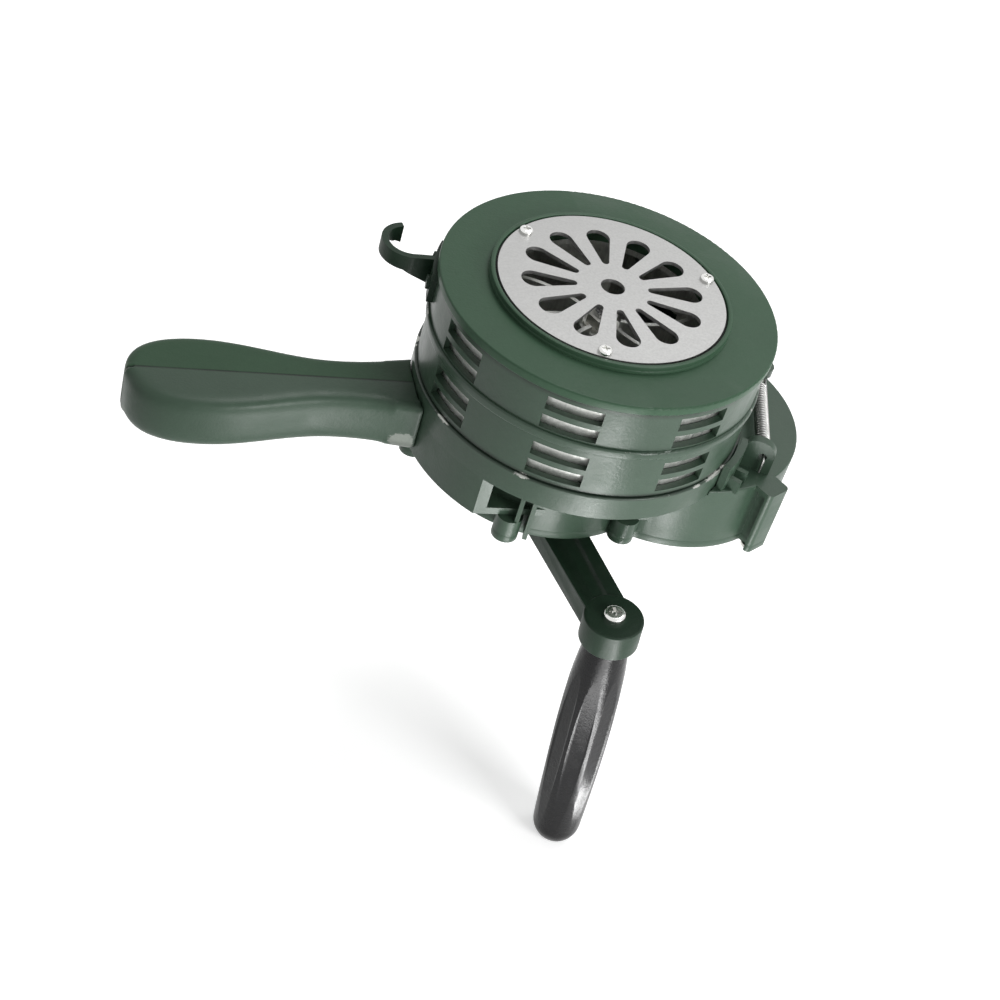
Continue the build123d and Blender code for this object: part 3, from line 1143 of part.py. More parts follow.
def handle_core():
    """Hollow of the handle, with the bosses of the cross screws left standing."""
    thickness = HANDLE_THICKNESS - 2 * HANDLE_WALL
    plan = Pos(0, 0, HANDLE_BOTTOM + HANDLE_WALL) * handle_outline(HANDLE_WALL)
    core = extrude(plan, thickness, dir=(0, 0, 1))
    core &= block(HANDLE_END_X, HANDLE_START_X - HANDLE_WALL, -FAR, FAR, HANDLE_BOTTOM, HANDLE_TOP)
    for x in HANDLE_SCREW_XS:
        core -= cross_rod(HANDLE_BOSS_RADIUS, -FAR, FAR, x)
    return core


def handle_half(side):
    """One hollow half of the handle; side is -1 for the front, +1 for the rear."""
    half_width = TANG_HALF_WIDTH + TANG_FIT
    half_height = TANG_THICKNESS / 2 + TANG_FIT
    body = handle_body() - handle_core()
    body -= block(TANG_END_X - EPS, -SKIRT_RADIUS + EPS, -half_width, half_width,
                  TANG_MIDDLE - half_height, TANG_MIDDLE + half_height)
    for x in HANDLE_SCREW_XS:
        body -= cross_rod(HANDLE_SCREW_RADIUS, HANDLE_SCREW_TIP, FAR, x)
        body -= cross_rod(HANDLE_COUNTERBORE, HANDLE_SCREW_SEAT, FAR, x)
        body -= cross_rod(HANDLE_NUT_RADIUS, HANDLE_NUT_END, 0, x)
    y_low, y_high = sorted((0.0, side * FAR))
    return body & block(HANDLE_END_X - EPS, 0, y_low, y_high, HANDLE_BOTTOM - EPS, HANDLE_TOP + EPS)


def handle_front():
    """Half of the handle on the crank arm's side."""
    return handle_half(-1)


def handle_rear():
    """Half of the handle on the hook's side."""
    return handle_half(1)


def handle_screws():
    """Two screws across the handle, heads in the rear half."""
    shapes = []
    for x in HANDLE_SCREW_XS:
        shank = cross_rod(HANDLE_SCREW_RADIUS, HANDLE_SCREW_TIP, HANDLE_SCREW_SEAT, x)
        head = cross_rod(HANDLE_HEAD_RADIUS, HANDLE_SCREW_SEAT, HANDLE_SCREW_SEAT + HANDLE_HEAD_HEIGHT, x)
        shapes.append(shank + head)
    return group(shapes)


def handle_nuts():
    """Round nuts of the handle screws, pressed into the front half's bosses."""
    shapes = []
    for x in HANDLE_SCREW_XS:
        nut = cross_rod(HANDLE_NUT_RADIUS, HANDLE_NUT_END, -HANDLE_NUT_DEPTH, x)
        shapes.append(nut - cross_rod(HANDLE_SCREW_RADIUS, -FAR, 0, x))
    return group(shapes)


# ---- spring -----------------------------------------------------------------
def spring_frame():
    """Start at the ear, direction towards the post, and the sideways unit vector."""
    ear = polar(SPRING_EAR_RADIUS, EAR_ANGLE)
    post = polar(POST_CENTRE_RADIUS, POST_ANGLE)
    span = hypot(post[0] - ear[0], post[1] - ear[1])
    along = Vector((post[0] - ear[0]) / span, (post[1] - ear[1]) / span, 0)
    side = Vector(along.Y, -along.X, 0)
    return Vector(ear[0], ear[1], -SPRING_DEPTH), along, side, span


def biarc(start, start_dir, end, end_dir):
    """Two tangent arcs between two points with given directions."""
    chord = end - start
    both = start_dir + end_dir
    a = both.dot(both) - 4.0
    b = -2.0 * chord.dot(both)
    c = chord.dot(chord)
    if abs(a) < 1e-9:
        reach = -c / b
    else:
        root = sqrt(b * b - 4 * a * c)
        reach = (-b - root) / (2 * a) if a < 0 else (-b + root) / (2 * a)
    joint = (start + start_dir * reach + end - end_dir * reach) * 0.5
    first = TangentArc(start, joint, tangent=start_dir)
    second = TangentArc(joint, end, tangent=first % 1)
    return [first, second]


def coil_point(origin, along, side, turn):
    """Point and direction of the coil after a number of turns."""
    angle = 2 * pi * turn
    up = Vector(0, 0, 1)
    radial = side * cos(angle) + up * sin(angle)
    around = up * cos(angle) - side * sin(angle)
    point = origin + along * (SPRING_PITCH * turn) + radial * SPRING_COIL_RADIUS
    direction = (around * (2 * pi * SPRING_COIL_RADIUS) + along * SPRING_PITCH).normalized()
    return point, direction


def spring_path():
    """Centre line of the wire: tail through the ear, close coil, loop round the post."""
    ear, along, side, span = spring_frame()
    down = Vector(0, 0, -1)
    body_start = (span - SPRING_TURNS * SPRING_PITCH) / 2 - SPRING_SHIFT
    bend = SPRING_BEND
    corner = ear - along * (EAR_THICKNESS / 2 + SPRING_LEAD)
    edges = [Line(corner + down * (bend + SPRING_TAIL), corner + down * bend)]
    edges.append(TangentArc(corner + down * bend, corner + along * bend, tangent=(0, 0, 1)))
    lead_end = ear + along * (EAR_THICKNESS / 2 + SPRING_LEAD)
    edges.append(Line(corner + along * bend, lead_end))
    origin = ear + along * body_start
    point, direction = coil_point(origin, along, side, 0.0)
    edges += biarc(lead_end, along, point, direction)
    for half in range(2 * SPRING_TURNS):
        end, end_direction = coil_point(origin, along, side, (half + 1) / 2)
        edges += biarc(point, direction, end, end_direction)
        point, direction = end, end_direction
    loop = POST_RADIUS + SEAT_GAP + SPRING_WIRE_RADIUS
    post = ear + along * span
    near = post - along * (loop + SPRING_LOOP_LEAD) + side * loop
    edges += biarc(point, direction, near, along)
    beside = post + side * loop
    edges.append(Line(near, beside))
    beyond = post - side * loop
    edges.append(ThreePointArc(beside, post + along * loop, beyond))
    return Wire(edges)


def return_spring():
    """Extension spring of one unbroken wire."""
    path = spring_path()
    print_least_gap(path)
    with BuildPart() as wire:
        with BuildSketch(Plane(origin=path @ 0, z_dir=path % 0)):
            Circle(SPRING_WIRE_RADIUS)
        sweep(path=path)
    return wire.part


def print_least_gap(path):
    """Print the least gap of the wire to itself, measured on points."""
    count = GAP_POINTS_PER_TURN * SPRING_TURNS
    points = [path @ (index / count) for index in range(count + 1)]
    apart = int(2 * SPRING_COIL_RADIUS * count / path.length)
    least = min(
        (points[low] - points[high]).length
        for low in range(count + 1)
        for high in range(low + apart, min(low + apart + 2 * GAP_POINTS_PER_TURN, count + 1))
    )
    print("least gap of the spring to itself, mm:", round(least - 2 * SPRING_WIRE_RADIUS, 3))


# ---- write the pieces -------------------------------------------------------
PIECES = {
    "front_flange": front_flange,
    "inlet_grille": inlet_grille,
    "grille_screws": grille_screws,
    "stator_drum": stator_drum,
    "drum_screws": drum_screws,
    "shutter_ring": shutter_ring,
    "trigger_hook": trigger_hook,
    "hook_rivets": hook_rivets,
    "spring_post": spring_post,
    "return_spring": return_spring,
    "stator_base": stator_base,
    "base_screws": base_screws,
    "upper_bearing": upper_bearing,
    "lower_bearing": lower_bearing,
    "bearing_plate": bearing_plate,
    "gear_housing": gear_housing,
    "gear_cover": gear_cover,
    "cover_screws": cover_screws,
    "crank_bush": crank_bush,
    "first_axle": first_axle,
    "second_axle": second_axle,
    "first_gear": first_gear,
    "first_pinion": first_pinion,
    "second_gear": second_gear,
    "second_pinion": second_pinion,
    "rotor": rotor,
    "rotor_shaft": rotor_shaft,
    "rotor_spacer": rotor_spacer,
    "rotor_nut": rotor_nut,
    "rotor_washer": rotor_washer,
    "rotor_pinion": rotor_pinion,
    "crank_gear": crank_gear,
    "crank_shaft": crank_shaft,
    "crank_clip": crank_clip,
    "crank_arm": crank_arm,
    "crank_nut": crank_nut,
    "grip_screw": grip_screw,
    "grip_washer": grip_washer,
    "grip_nut": grip_nut,
    "crank_grip": crank_grip,
    "handle_front": handle_front,
    "handle_rear": handle_rear,
    "handle_screws": handle_screws,
    "handle_nuts": handle_nuts,
}


def main():
    """Write one file per piece."""
    os.makedirs("parts", exist_ok=True)
    for name, make in PIECES.items():
        export_step(make(), f"parts/{name}.step")


if __name__ == "__main__":
    main()
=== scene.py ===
"""Looks of the hand crank siren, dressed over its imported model."""
import logging
import math
from dataclasses import dataclass, field
from enum import Enum

import bmesh
import bpy
from mathutils import Matrix, Vector


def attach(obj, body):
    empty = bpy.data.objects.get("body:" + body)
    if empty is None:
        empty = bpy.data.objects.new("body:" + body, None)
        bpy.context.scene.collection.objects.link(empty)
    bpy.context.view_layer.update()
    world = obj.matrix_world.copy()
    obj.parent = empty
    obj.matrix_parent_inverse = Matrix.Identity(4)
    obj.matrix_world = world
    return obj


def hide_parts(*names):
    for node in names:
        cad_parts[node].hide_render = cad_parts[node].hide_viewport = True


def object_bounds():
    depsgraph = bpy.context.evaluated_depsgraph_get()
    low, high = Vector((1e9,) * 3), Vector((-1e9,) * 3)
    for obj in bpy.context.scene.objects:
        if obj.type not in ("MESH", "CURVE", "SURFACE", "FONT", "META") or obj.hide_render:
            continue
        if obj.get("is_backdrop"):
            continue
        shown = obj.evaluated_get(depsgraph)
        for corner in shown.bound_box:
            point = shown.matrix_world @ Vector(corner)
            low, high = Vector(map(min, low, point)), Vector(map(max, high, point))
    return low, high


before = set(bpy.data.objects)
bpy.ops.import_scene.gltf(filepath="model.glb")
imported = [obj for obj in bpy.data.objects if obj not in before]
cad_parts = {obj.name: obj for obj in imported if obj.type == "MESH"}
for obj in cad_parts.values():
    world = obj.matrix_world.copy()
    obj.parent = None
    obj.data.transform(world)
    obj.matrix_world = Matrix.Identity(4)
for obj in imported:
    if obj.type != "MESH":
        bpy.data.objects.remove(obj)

LOG = logging.getLogger("siren")
MM = 0.001
JOIN_DISTANCE = 0.00002
FLAT_ANGLE = math.radians(0.4)
SHARP_ANGLE = math.radians(32)
BEVEL_STEPS = 2

Colour = tuple[float, float, float]
Point = tuple[float, float, float]
Socket = bpy.types.NodeSocket
Tree = bpy.types.NodeTree
Node = bpy.types.Node

VALUE = "NodeSocketFloat"
VECTOR = "NodeSocketVector"
COLOUR = "NodeSocketColor"
MIX_FIRST, MIX_SECOND, MIX_RESULT = 6, 7, 2

WHITE: Colour = (1.0, 1.0, 1.0)
# Near-black mixed into the enamel along joints, as painted shade.
JOINT_SHADE: Colour = (0.006, 0.009, 0.007)
GREEN: Colour = (0.040, 0.086, 0.050)
# Darker, greyer copy of GREEN for the side walls: painted shade on walls that get less light than
# the flange's top.
SHADED_WALL_GREEN: Colour = (0.037, 0.067, 0.044)
# Green darkened to paint the drum's shadow onto the crank arm; the hook takes it too.
DRUM_SHADOW_GREEN: Colour = (0.012, 0.028, 0.016)


# ---- node helpers ---------------------------------------------------------------
class Nodes:
    """Small builder for one node tree."""

    def __init__(self, tree: Tree) -> None:
        """Start on a tree.

        Args:
            tree: The material's or group's node tree.
        """
        self.tree = tree

    def add(self, kind: str, **settings: object) -> Node:
        """Add a node.

        Args:
            kind: Blender's node type name.
            settings: Node properties to set.

        Returns:
            The new node.
        """
        node = self.tree.nodes.new(kind)
        for name, value in settings.items():
            setattr(node, name, value)
        return node

    def feed(self, source: object, node: Node, socket: int | str) -> None:
        """Give a socket a link or a plain value.

        Args:
            source: A socket to link, or a value.
            node: The node that receives it.
            socket: Name or index of its input.
        """
        if isinstance(source, Socket):
            self.tree.links.new(source, node.inputs[socket])
        else:
            node.inputs[socket].default_value = source

    def math(
        self, operation: str, first: object, second: object = 0.0, clamp: bool = False
    ) -> Socket:
        """Add a Math node.

        Args:
            operation: Blender's operation name.
            first: First operand.
            second: Second operand.
            clamp: Whether the result is held between 0 and 1.

        Returns:
            The result's socket.
        """
        node = self.add("ShaderNodeMath", operation=operation, use_clamp=clamp)
        self.feed(first, node, 0)
        self.feed(second, node, 1)
        return node.outputs[0]

    def spread(
        self, value: object, low: float, high: float, out_low: float = 0.0, out_high: float = 1.0
    ) -> Socket:
        """Map a value smoothly from one range to another.

        Args:
            value: The value's socket.
            low: Value that gives out_low.
            high: Value that gives out_high.
            out_low: Result at low.
            out_high: Result at high.

        Returns:
            The mapped value's socket.
        """
        node = self.add("ShaderNodeMapRange", interpolation_type="SMOOTHSTEP")
        for index, item in enumerate((value, low, high, out_low, out_high)):
            self.feed(item, node, index)
        return node.outputs[0]

    def noise(
        self, vector: object, scale: object, detail: float = 3.0, rough: float = 0.55
    ) -> Socket:
        """Add a noise texture.

        Args:
            vector: Coordinates.
            scale: Cells per metre, as a number or a socket.
            detail: Octaves.
            rough: Weight of the finer octaves.

        Returns:
            The noise value's socket.
        """
        node = self.add("ShaderNodeTexNoise")
        self.feed(vector, node, "Vector")
        for name, value in (("Scale", scale), ("Detail", detail), ("Roughness", rough)):
            self.feed(value, node, name)
        return node.outputs["Fac"]

    def seen(self) -> Socket:
        """Value of 1 for camera, glossy and transmission rays, 0 for others."""
        rays = self.add("ShaderNodeLightPath").outputs
        mirror = self.math("MAXIMUM", rays["Is Glossy Ray"], rays["Is Transmission Ray"])
        return self.math("MAXIMUM", rays["Is Camera Ray"], mirror)

    def mix(self, amount: object, first: object, second: object) -> Socket:
        """Mix two colours.

        Args:
            amount: Share of the second.
            first: First colour.
            second: Second colour.

        Returns:
            The mixed colour's socket.
        """
        node = self.add("ShaderNodeMix", data_type="RGBA")
        self.feed(amount, node, "Factor")
        self.feed(first, node, MIX_FIRST)
        self.feed(second, node, MIX_SECOND)
        return node.outputs[MIX_RESULT]


def rgba(colour: Colour) -> tuple[float, float, float, float]:
    """Colour with full alpha."""
    return (*colour, 1.0)


class EffectGroups:
    """Shader node groups that several finishes share, each built once."""

    FINE_SHARE = 0.6
    BROAD_SHARE = 0.8
    CLOUD_SHARE = 0.7
    SPECK_SHARE = 0.3
    MIDDLE = 0.5

    def __init__(self) -> None:
        """Build every group."""
        self.grain = self._grain()
        self.tone = self._tone()
        self.chips = self._chips()
        self.streaks = self._streaks()
        self.wear = self._wear()
        self.joint_shade = self._joint_shade()

    @staticmethod
    def _start(
        name: str, inputs: dict[str, str], outputs: dict[str, str]
    ) -> tuple[Tree, Nodes, Node, Node]:
        """Open a group with named sockets.

        Args:
            name: The group's name.
            inputs: Socket names and kinds that go in.
            outputs: Socket names and kinds that come out.

        Returns:
            The tree, its builder, and its input and output nodes.
        """
        tree = bpy.data.node_groups.new(name, "ShaderNodeTree")
        for socket, kind in inputs.items():
            tree.interface.new_socket(name=socket, in_out="INPUT", socket_type=kind)
        for socket, kind in outputs.items():
            tree.interface.new_socket(name=socket, in_out="OUTPUT", socket_type=kind)
        nodes = Nodes(tree)
        return tree, nodes, nodes.add("NodeGroupInput"), nodes.add("NodeGroupOutput")

    @staticmethod
    def _length(nodes: Nodes, first: Socket, second: Socket) -> Socket:
        """Length of the diagonal over two distances."""
        first = nodes.math("POWER", first, 2.0)
        second = nodes.math("POWER", second, 2.0)
        return nodes.math("SQRT", nodes.math("ADD", first, second))

    @staticmethod
    def _near(nodes: Nodes, away: Socket, reach: Socket) -> Socket:
        """Value of 1 at no distance, falling to 0 at the reach."""
        return nodes.math("SUBTRACT", 1.0, nodes.math("DIVIDE", away, reach), clamp=True)

    def _grain(self) -> Tree:
        """Fine height grain of sprayed paint or moulded plastic."""
        tree, nodes, enter, leave = self._start(
            "surface_grain",
            {"Place": VECTOR, "Fine Scale": VALUE, "Broad Scale": VALUE},
            {"Height": VALUE},
        )
        given = enter.outputs
        fine = nodes.noise(given["Place"], given["Fine Scale"], detail=2.0)
        broad = nodes.noise(given["Place"], given["Broad Scale"], detail=2.0)
        fine = nodes.math("MULTIPLY", fine, self.FINE_SHARE)
        broad = nodes.math("MULTIPLY", broad, self.BROAD_SHARE)
        nodes.feed(nodes.math("ADD", fine, broad), leave, "Height")
        return tree

    def _tone(self) -> Tree:
        """Slow change of tone from handling and age, about 1."""
        tree, nodes, enter, leave = self._start(
            "slow_tone", {"Place": VECTOR, "Colour": COLOUR, "Amount": VALUE}, {"Colour": COLOUR}
        )
        given = enter.outputs
        cloud = nodes.noise(given["Place"], scale=26.0, detail=4.0, rough=0.6)
        specks = nodes.noise(given["Place"], scale=420.0, detail=2.0, rough=0.5)
        cloud = nodes.math("MULTIPLY", cloud, self.CLOUD_SHARE)
        specks = nodes.math("MULTIPLY", specks, self.SPECK_SHARE)
        about_zero = nodes.math("SUBTRACT", nodes.math("ADD", cloud, specks), self.MIDDLE)
        scale = nodes.math("ADD", nodes.math("MULTIPLY", about_zero, given["Amount"]), 1.0)
        shade = nodes.add("ShaderNodeVectorMath", operation="SCALE")
        nodes.feed(given["Colour"], shade, 0)
        nodes.feed(scale, shade, "Scale")
        nodes.feed(shade.outputs[0], leave, "Colour")
        return tree

    def _chips(self) -> Tree:
        """Mask of chipped paint close to a round edge at a radius and height."""
        tree, nodes, enter, leave = self._start(
            "edge_chips",
            {"Place": VECTOR, "Radius": VALUE, "Height": VALUE, "Reach": VALUE, "Amount": VALUE},
            {"Mask": VALUE},
        )
        given = enter.outputs
        split = nodes.add("ShaderNodeSeparateXYZ")
        nodes.feed(given["Place"], split, 0)
        radius = self._length(nodes, split.outputs[0], split.outputs[1])
        radial = nodes.math("SUBTRACT", radius, given["Radius"])
        rise = nodes.math("SUBTRACT", split.outputs[2], given["Height"])
        near = self._near(nodes, self._length(nodes, radial, rise), given["Reach"])
        cells = nodes.noise(given["Place"], scale=240.0, detail=5.0, rough=0.65)
        patches = nodes.noise(given["Place"], scale=38.0, detail=2.0, rough=0.5)
        patches = nodes.spread(patches, low=0.45, high=0.7)
        strength = nodes.math("MULTIPLY", nodes.math("MULTIPLY", near, cells), patches)
        strength = nodes.math("MULTIPLY", strength, given["Amount"])
        nodes.feed(nodes.spread(strength, low=0.30, high=0.36), leave, "Mask")
        return tree

    def _wear(self) -> Tree:
        """Mask of paint rubbed off round one point."""
        tree, nodes, enter, leave = self._start(
            "worn_spot",
            {"Place": VECTOR, "Centre": VECTOR, "Reach": VALUE, "Amount": VALUE},
            {"Mask": VALUE},
        )
        given = enter.outputs
        away = nodes.add("ShaderNodeVectorMath", operation="DISTANCE")
        nodes.feed(given["Place"], away, 0)
        nodes.feed(given["Centre"], away, 1)
        near = self._near(nodes, away.outputs["Value"], given["Reach"])
        cells = nodes.noise(given["Place"], scale=160.0, detail=6.0, rough=0.7)
        ragged = nodes.math("ADD", near, nodes.math("SUBTRACT", cells, self.MIDDLE))
        mask = nodes.spread(ragged, low=0.42, high=0.52)
        nodes.feed(nodes.math("MULTIPLY", mask, given["Amount"]), leave, "Mask")
        return tree

    def _joint_shade(self) -> Tree:
        """Mask of painted shade along a plane, such as a joint between two parts."""
        tree, nodes, enter, leave = self._start(
            "painted_joint_shade",
            {"Place": VECTOR, "Axis": VECTOR, "Offset": VALUE, "Reach": VALUE, "Amount": VALUE},
            {"Mask": VALUE},
        )
        given = enter.outputs
        along = nodes.add("ShaderNodeVectorMath", operation="DOT_PRODUCT")
        nodes.feed(given["Place"], along, 0)
        nodes.feed(given["Axis"], along, 1)
        away = nodes.math("SUBTRACT", along.outputs["Value"], given["Offset"])
        near = self._near(nodes, nodes.math("ABSOLUTE", away), given["Reach"])
        uneven = nodes.noise(given["Place"], scale=70.0)
        uneven = nodes.spread(uneven, low=0.3, high=0.7, out_low=0.65, out_high=1.0)
        mask = nodes.math("MULTIPLY", near, uneven)
        nodes.feed(nodes.math("MULTIPLY", mask, given["Amount"]), leave, "Mask")
        return tree

    def _streaks(self) -> Tree:
        """Fine turning or drawing marks along one direction, as a value about 0.5."""
        tree, nodes, enter, leave = self._start(
            "drawn_streaks", {"Place": VECTOR, "Stretch": VECTOR, "Scale": VALUE}, {"Value": VALUE}
        )
        given = enter.outputs
        squeeze = nodes.add("ShaderNodeVectorMath", operation="MULTIPLY")
        nodes.feed(given["Place"], squeeze, 0)
        nodes.feed(given["Stretch"], squeeze, 1)
        lines = nodes.noise(squeeze.outputs[0], given["Scale"], detail=4.0, rough=0.6)
        nodes.feed(lines, leave, "Value")
        return tree


# ---- finishes ---------------------------------------------------------------------
@dataclass(frozen=True)
class EdgeRing:
    """Round edge that loses its paint first, in metres."""

    radius: float
    height: float
    reach: float = 0.004
    amount: float = 1.0


@dataclass(frozen=True)
class WornSpot:
    """Place where handling rubs the paint off, in metres."""

    centre: Point
    reach: float
    amount: float = 0.8


@dataclass(frozen=True)
class JointShadeLine:
    """Plane along which shade is painted dark: its axis, offset and reach, in metres."""

    offset: float
    reach: float
    amount: float = 0.7
    axis: Point = (0.0, 0.0, 1.0)


@dataclass(frozen=True)
class Enamel:
    """Sprayed enamel on castings, with its bare places and painted shade along its joints."""

    name: str
    colour: Colour
    roughness: float = 0.38
    roughness_span: tuple[float, float] = (-0.05, 0.08)
    coat: float = 0.05
    coat_roughness: float = 0.22
    gloss: float = 0.20
    grain_depth: float = 0.00010
    grain_scales: tuple[float, float] = (900.0, 260.0)
    tone: float = 0.35
    rings: tuple[EdgeRing, ...] = ()
    spots: tuple[WornSpot, ...] = ()
    lines: tuple[JointShadeLine, ...] = ()
    under: Colour = (0.42, 0.43, 0.40)
    under_metal: float = 0.8

    def make(self, groups: EffectGroups) -> bpy.types.Material:
        """Build the material.

        Args:
            groups: The shared effects.

        Returns:
            The enamel material.
        """
        material, nodes, shader, place = open_material(self.name)
        colour = toned(nodes, groups, place, self.colour, self.tone)
        # Painted shade: darken the colour along each joint line.
        for line in self.lines:
            shade_mask = group_node(nodes, groups.joint_shade, place, {
                "Axis": line.axis, "Offset": line.offset, "Reach": line.reach, "Amount": line.amount
            })
            colour = nodes.mix(shade_mask.outputs[0], colour, rgba(JOINT_SHADE))
        worn = self._worn(nodes, groups, place)
        if worn is not None:
            colour = nodes.mix(worn, colour, rgba(self.under))
            nodes.feed(nodes.math("MULTIPLY", worn, self.under_metal), shader, "Metallic")
        nodes.feed(colour, shader, "Base Color")
        uneven = nodes.noise(place, scale=60.0)
        least, most = (self.roughness + step for step in self.roughness_span)
        rough = nodes.spread(uneven, low=0.3, high=0.7, out_low=least, out_high=most)
        nodes.feed(rough, shader, "Roughness")
        nodes.feed(self.gloss, shader, "Specular IOR Level")
        nodes.feed(self.coat, shader, "Coat Weight")
        nodes.feed(self.coat_roughness, shader, "Coat Roughness")
        add_grain(nodes, groups, place, shader, self.grain_scales, self.grain_depth)
        return material

    def _worn(self, nodes: Nodes, groups: EffectGroups, place: Socket) -> Socket | None:
        """Mask of the bare places.

        Args:
            nodes: The material's node builder.
            groups: The shared effects.
            place: Coordinates.

        Returns:
            The mask's socket, or None where the paint is whole.
        """
        masks = [
            group_node(nodes, groups.chips, place, {
                "Radius": ring.radius, "Height": ring.height, "Reach": ring.reach,
                "Amount": ring.amount,
            }).outputs[0]
            for ring in self.rings
        ] + [
            group_node(nodes, groups.wear, place, {
                "Centre": spot.centre, "Reach": spot.reach, "Amount": spot.amount
            }).outputs[0]
            for spot in self.spots
        ]
        worn = None
        for mask in masks:
            worn = mask if worn is None else nodes.math("MAXIMUM", worn, mask)
        return worn


@dataclass(frozen=True)
class Metal:
    """Bare metal with drawn or turned marks."""

    name: str
    colour: Colour
    roughness: float = 0.35
    roughness_span: tuple[float, float] = (-0.07, 0.12)
    streak: Point = (1.0, 1.0, 1.0)
    streak_scale: float = 300.0
    contrast: float = 0.35
    dark_share: float = 0.62
    grain_depth: float = 0.0001
    grain_scales: tuple[float, float] = (700.0, 180.0)

    def make(self, groups: EffectGroups) -> bpy.types.Material:
        """Build the material.

        Args:
            groups: The shared effects.

        Returns:
            The metal material.
        """
        material, nodes, shader, place = open_material(self.name)
        nodes.feed(1.0, shader, "Metallic")
        marks = group_node(nodes, groups.streaks, place, {
            "Stretch": self.streak, "Scale": self.streak_scale
        }).outputs[0]
        tint = toned(nodes, groups, place, self.colour, self.contrast)
        dark = tuple(self.dark_share * part for part in self.colour)
        amount = nodes.spread(marks, low=0.35, high=0.65, out_high=self.contrast)
        nodes.feed(nodes.mix(amount, tint, rgba(dark)), shader, "Base Color")
        least, most = (self.roughness + step for step in self.roughness_span)
        rough = nodes.spread(marks, low=0.3, high=0.7, out_low=least, out_high=most)
        nodes.feed(rough, shader, "Roughness")
        add_grain(nodes, groups, place, shader, self.grain_scales, self.grain_depth)
        return material


@dataclass(frozen=True)
class MouldedPlastic:
    """Moulded plastic with a fine pebbled skin."""

    name: str
    colour: Colour
    roughness: float = 0.3
    roughness_span: tuple[float, float] = (-0.04, 0.12)
    gloss: float = 0.18
    tone: float = 0.5
    grain_depth: float = 0.00012
    grain_scales: tuple[float, float] = (1500.0, 380.0)

    def make(self, groups: EffectGroups) -> bpy.types.Material:
        """Build the material.

        Args:
            groups: The shared effects.

        Returns:
            The plastic material.
        """
        material, nodes, shader, place = open_material(self.name)
        nodes.feed(toned(nodes, groups, place, self.colour, self.tone), shader, "Base Color")
        scuffs = nodes.noise(place, scale=90.0, detail=5.0, rough=0.7)
        least, most = (self.roughness + step for step in self.roughness_span)
        rough = nodes.spread(scuffs, low=0.35, high=0.75, out_low=least, out_high=most)
        nodes.feed(rough, shader, "Roughness")
        nodes.feed(self.gloss, shader, "Specular IOR Level")
        add_grain(nodes, groups, place, shader, self.grain_scales, self.grain_depth)
        return material


def open_material(name: str) -> tuple[bpy.types.Material, Nodes, Node, Socket]:
    """Start a node material on Object coordinates.

    Args:
        name: The material's name.

    Returns:
        The material, its node builder, its shader and the coordinates.
    """
    material = bpy.data.materials.new(name)
    material.use_nodes = True
    nodes = Nodes(material.node_tree)
    shader = next(node for node in material.node_tree.nodes if node.type == "BSDF_PRINCIPLED")
    place = nodes.add("ShaderNodeTexCoord").outputs["Object"]
    return material, nodes, shader, place


def group_node(nodes: Nodes, tree: Tree, place: Socket, values: dict[str, object]) -> Node:
    """Place a shared effect in a material.

    Args:
        nodes: The material's node builder.
        tree: The effect's group.
        place: Coordinates that it reads.
        values: Plain values of its other inputs, by name.

    Returns:
        The group's node.
    """
    node = nodes.add("ShaderNodeGroup")
    node.node_tree = tree
    nodes.feed(place, node, "Place")
    for name, value in values.items():
        nodes.feed(value, node, name)
    return node


def toned(
    nodes: Nodes, groups: EffectGroups, place: Socket, colour: Colour, amount: float
) -> Socket:
    """Colour with the slow change of tone on it.

    Args:
        nodes: The material's node builder.
        groups: The shared effects.
        place: Coordinates.
        colour: Plain colour.
        amount: Strength of the change.

    Returns:
        The varied colour's socket.
    """
    tone = group_node(nodes, groups.tone, place, {"Colour": rgba(colour), "Amount": amount})
    return tone.outputs[0]


def add_grain(
    nodes: Nodes, groups: EffectGroups, place: Socket, shader: Node,
    scales: tuple[float, float], depth: float,
) -> None:
    """Feed the grain's height through a bump to the shader.

    Args:
        nodes: The material's node builder.
        groups: The shared effects.
        place: Coordinates.
        shader: The Principled shader.
        scales: Fine and broad scale of the grain.
        depth: Height of the grain, in metres.
    """
    fine, broad = scales
    grain = group_node(nodes, groups.grain, place, {"Fine Scale": fine, "Broad Scale": broad})
    bump = nodes.add("ShaderNodeBump")
    nodes.feed(depth, bump, "Distance")
    nodes.feed(grain.outputs[0], bump, "Height")
    nodes.feed(bump.outputs[0], shader, "Normal")


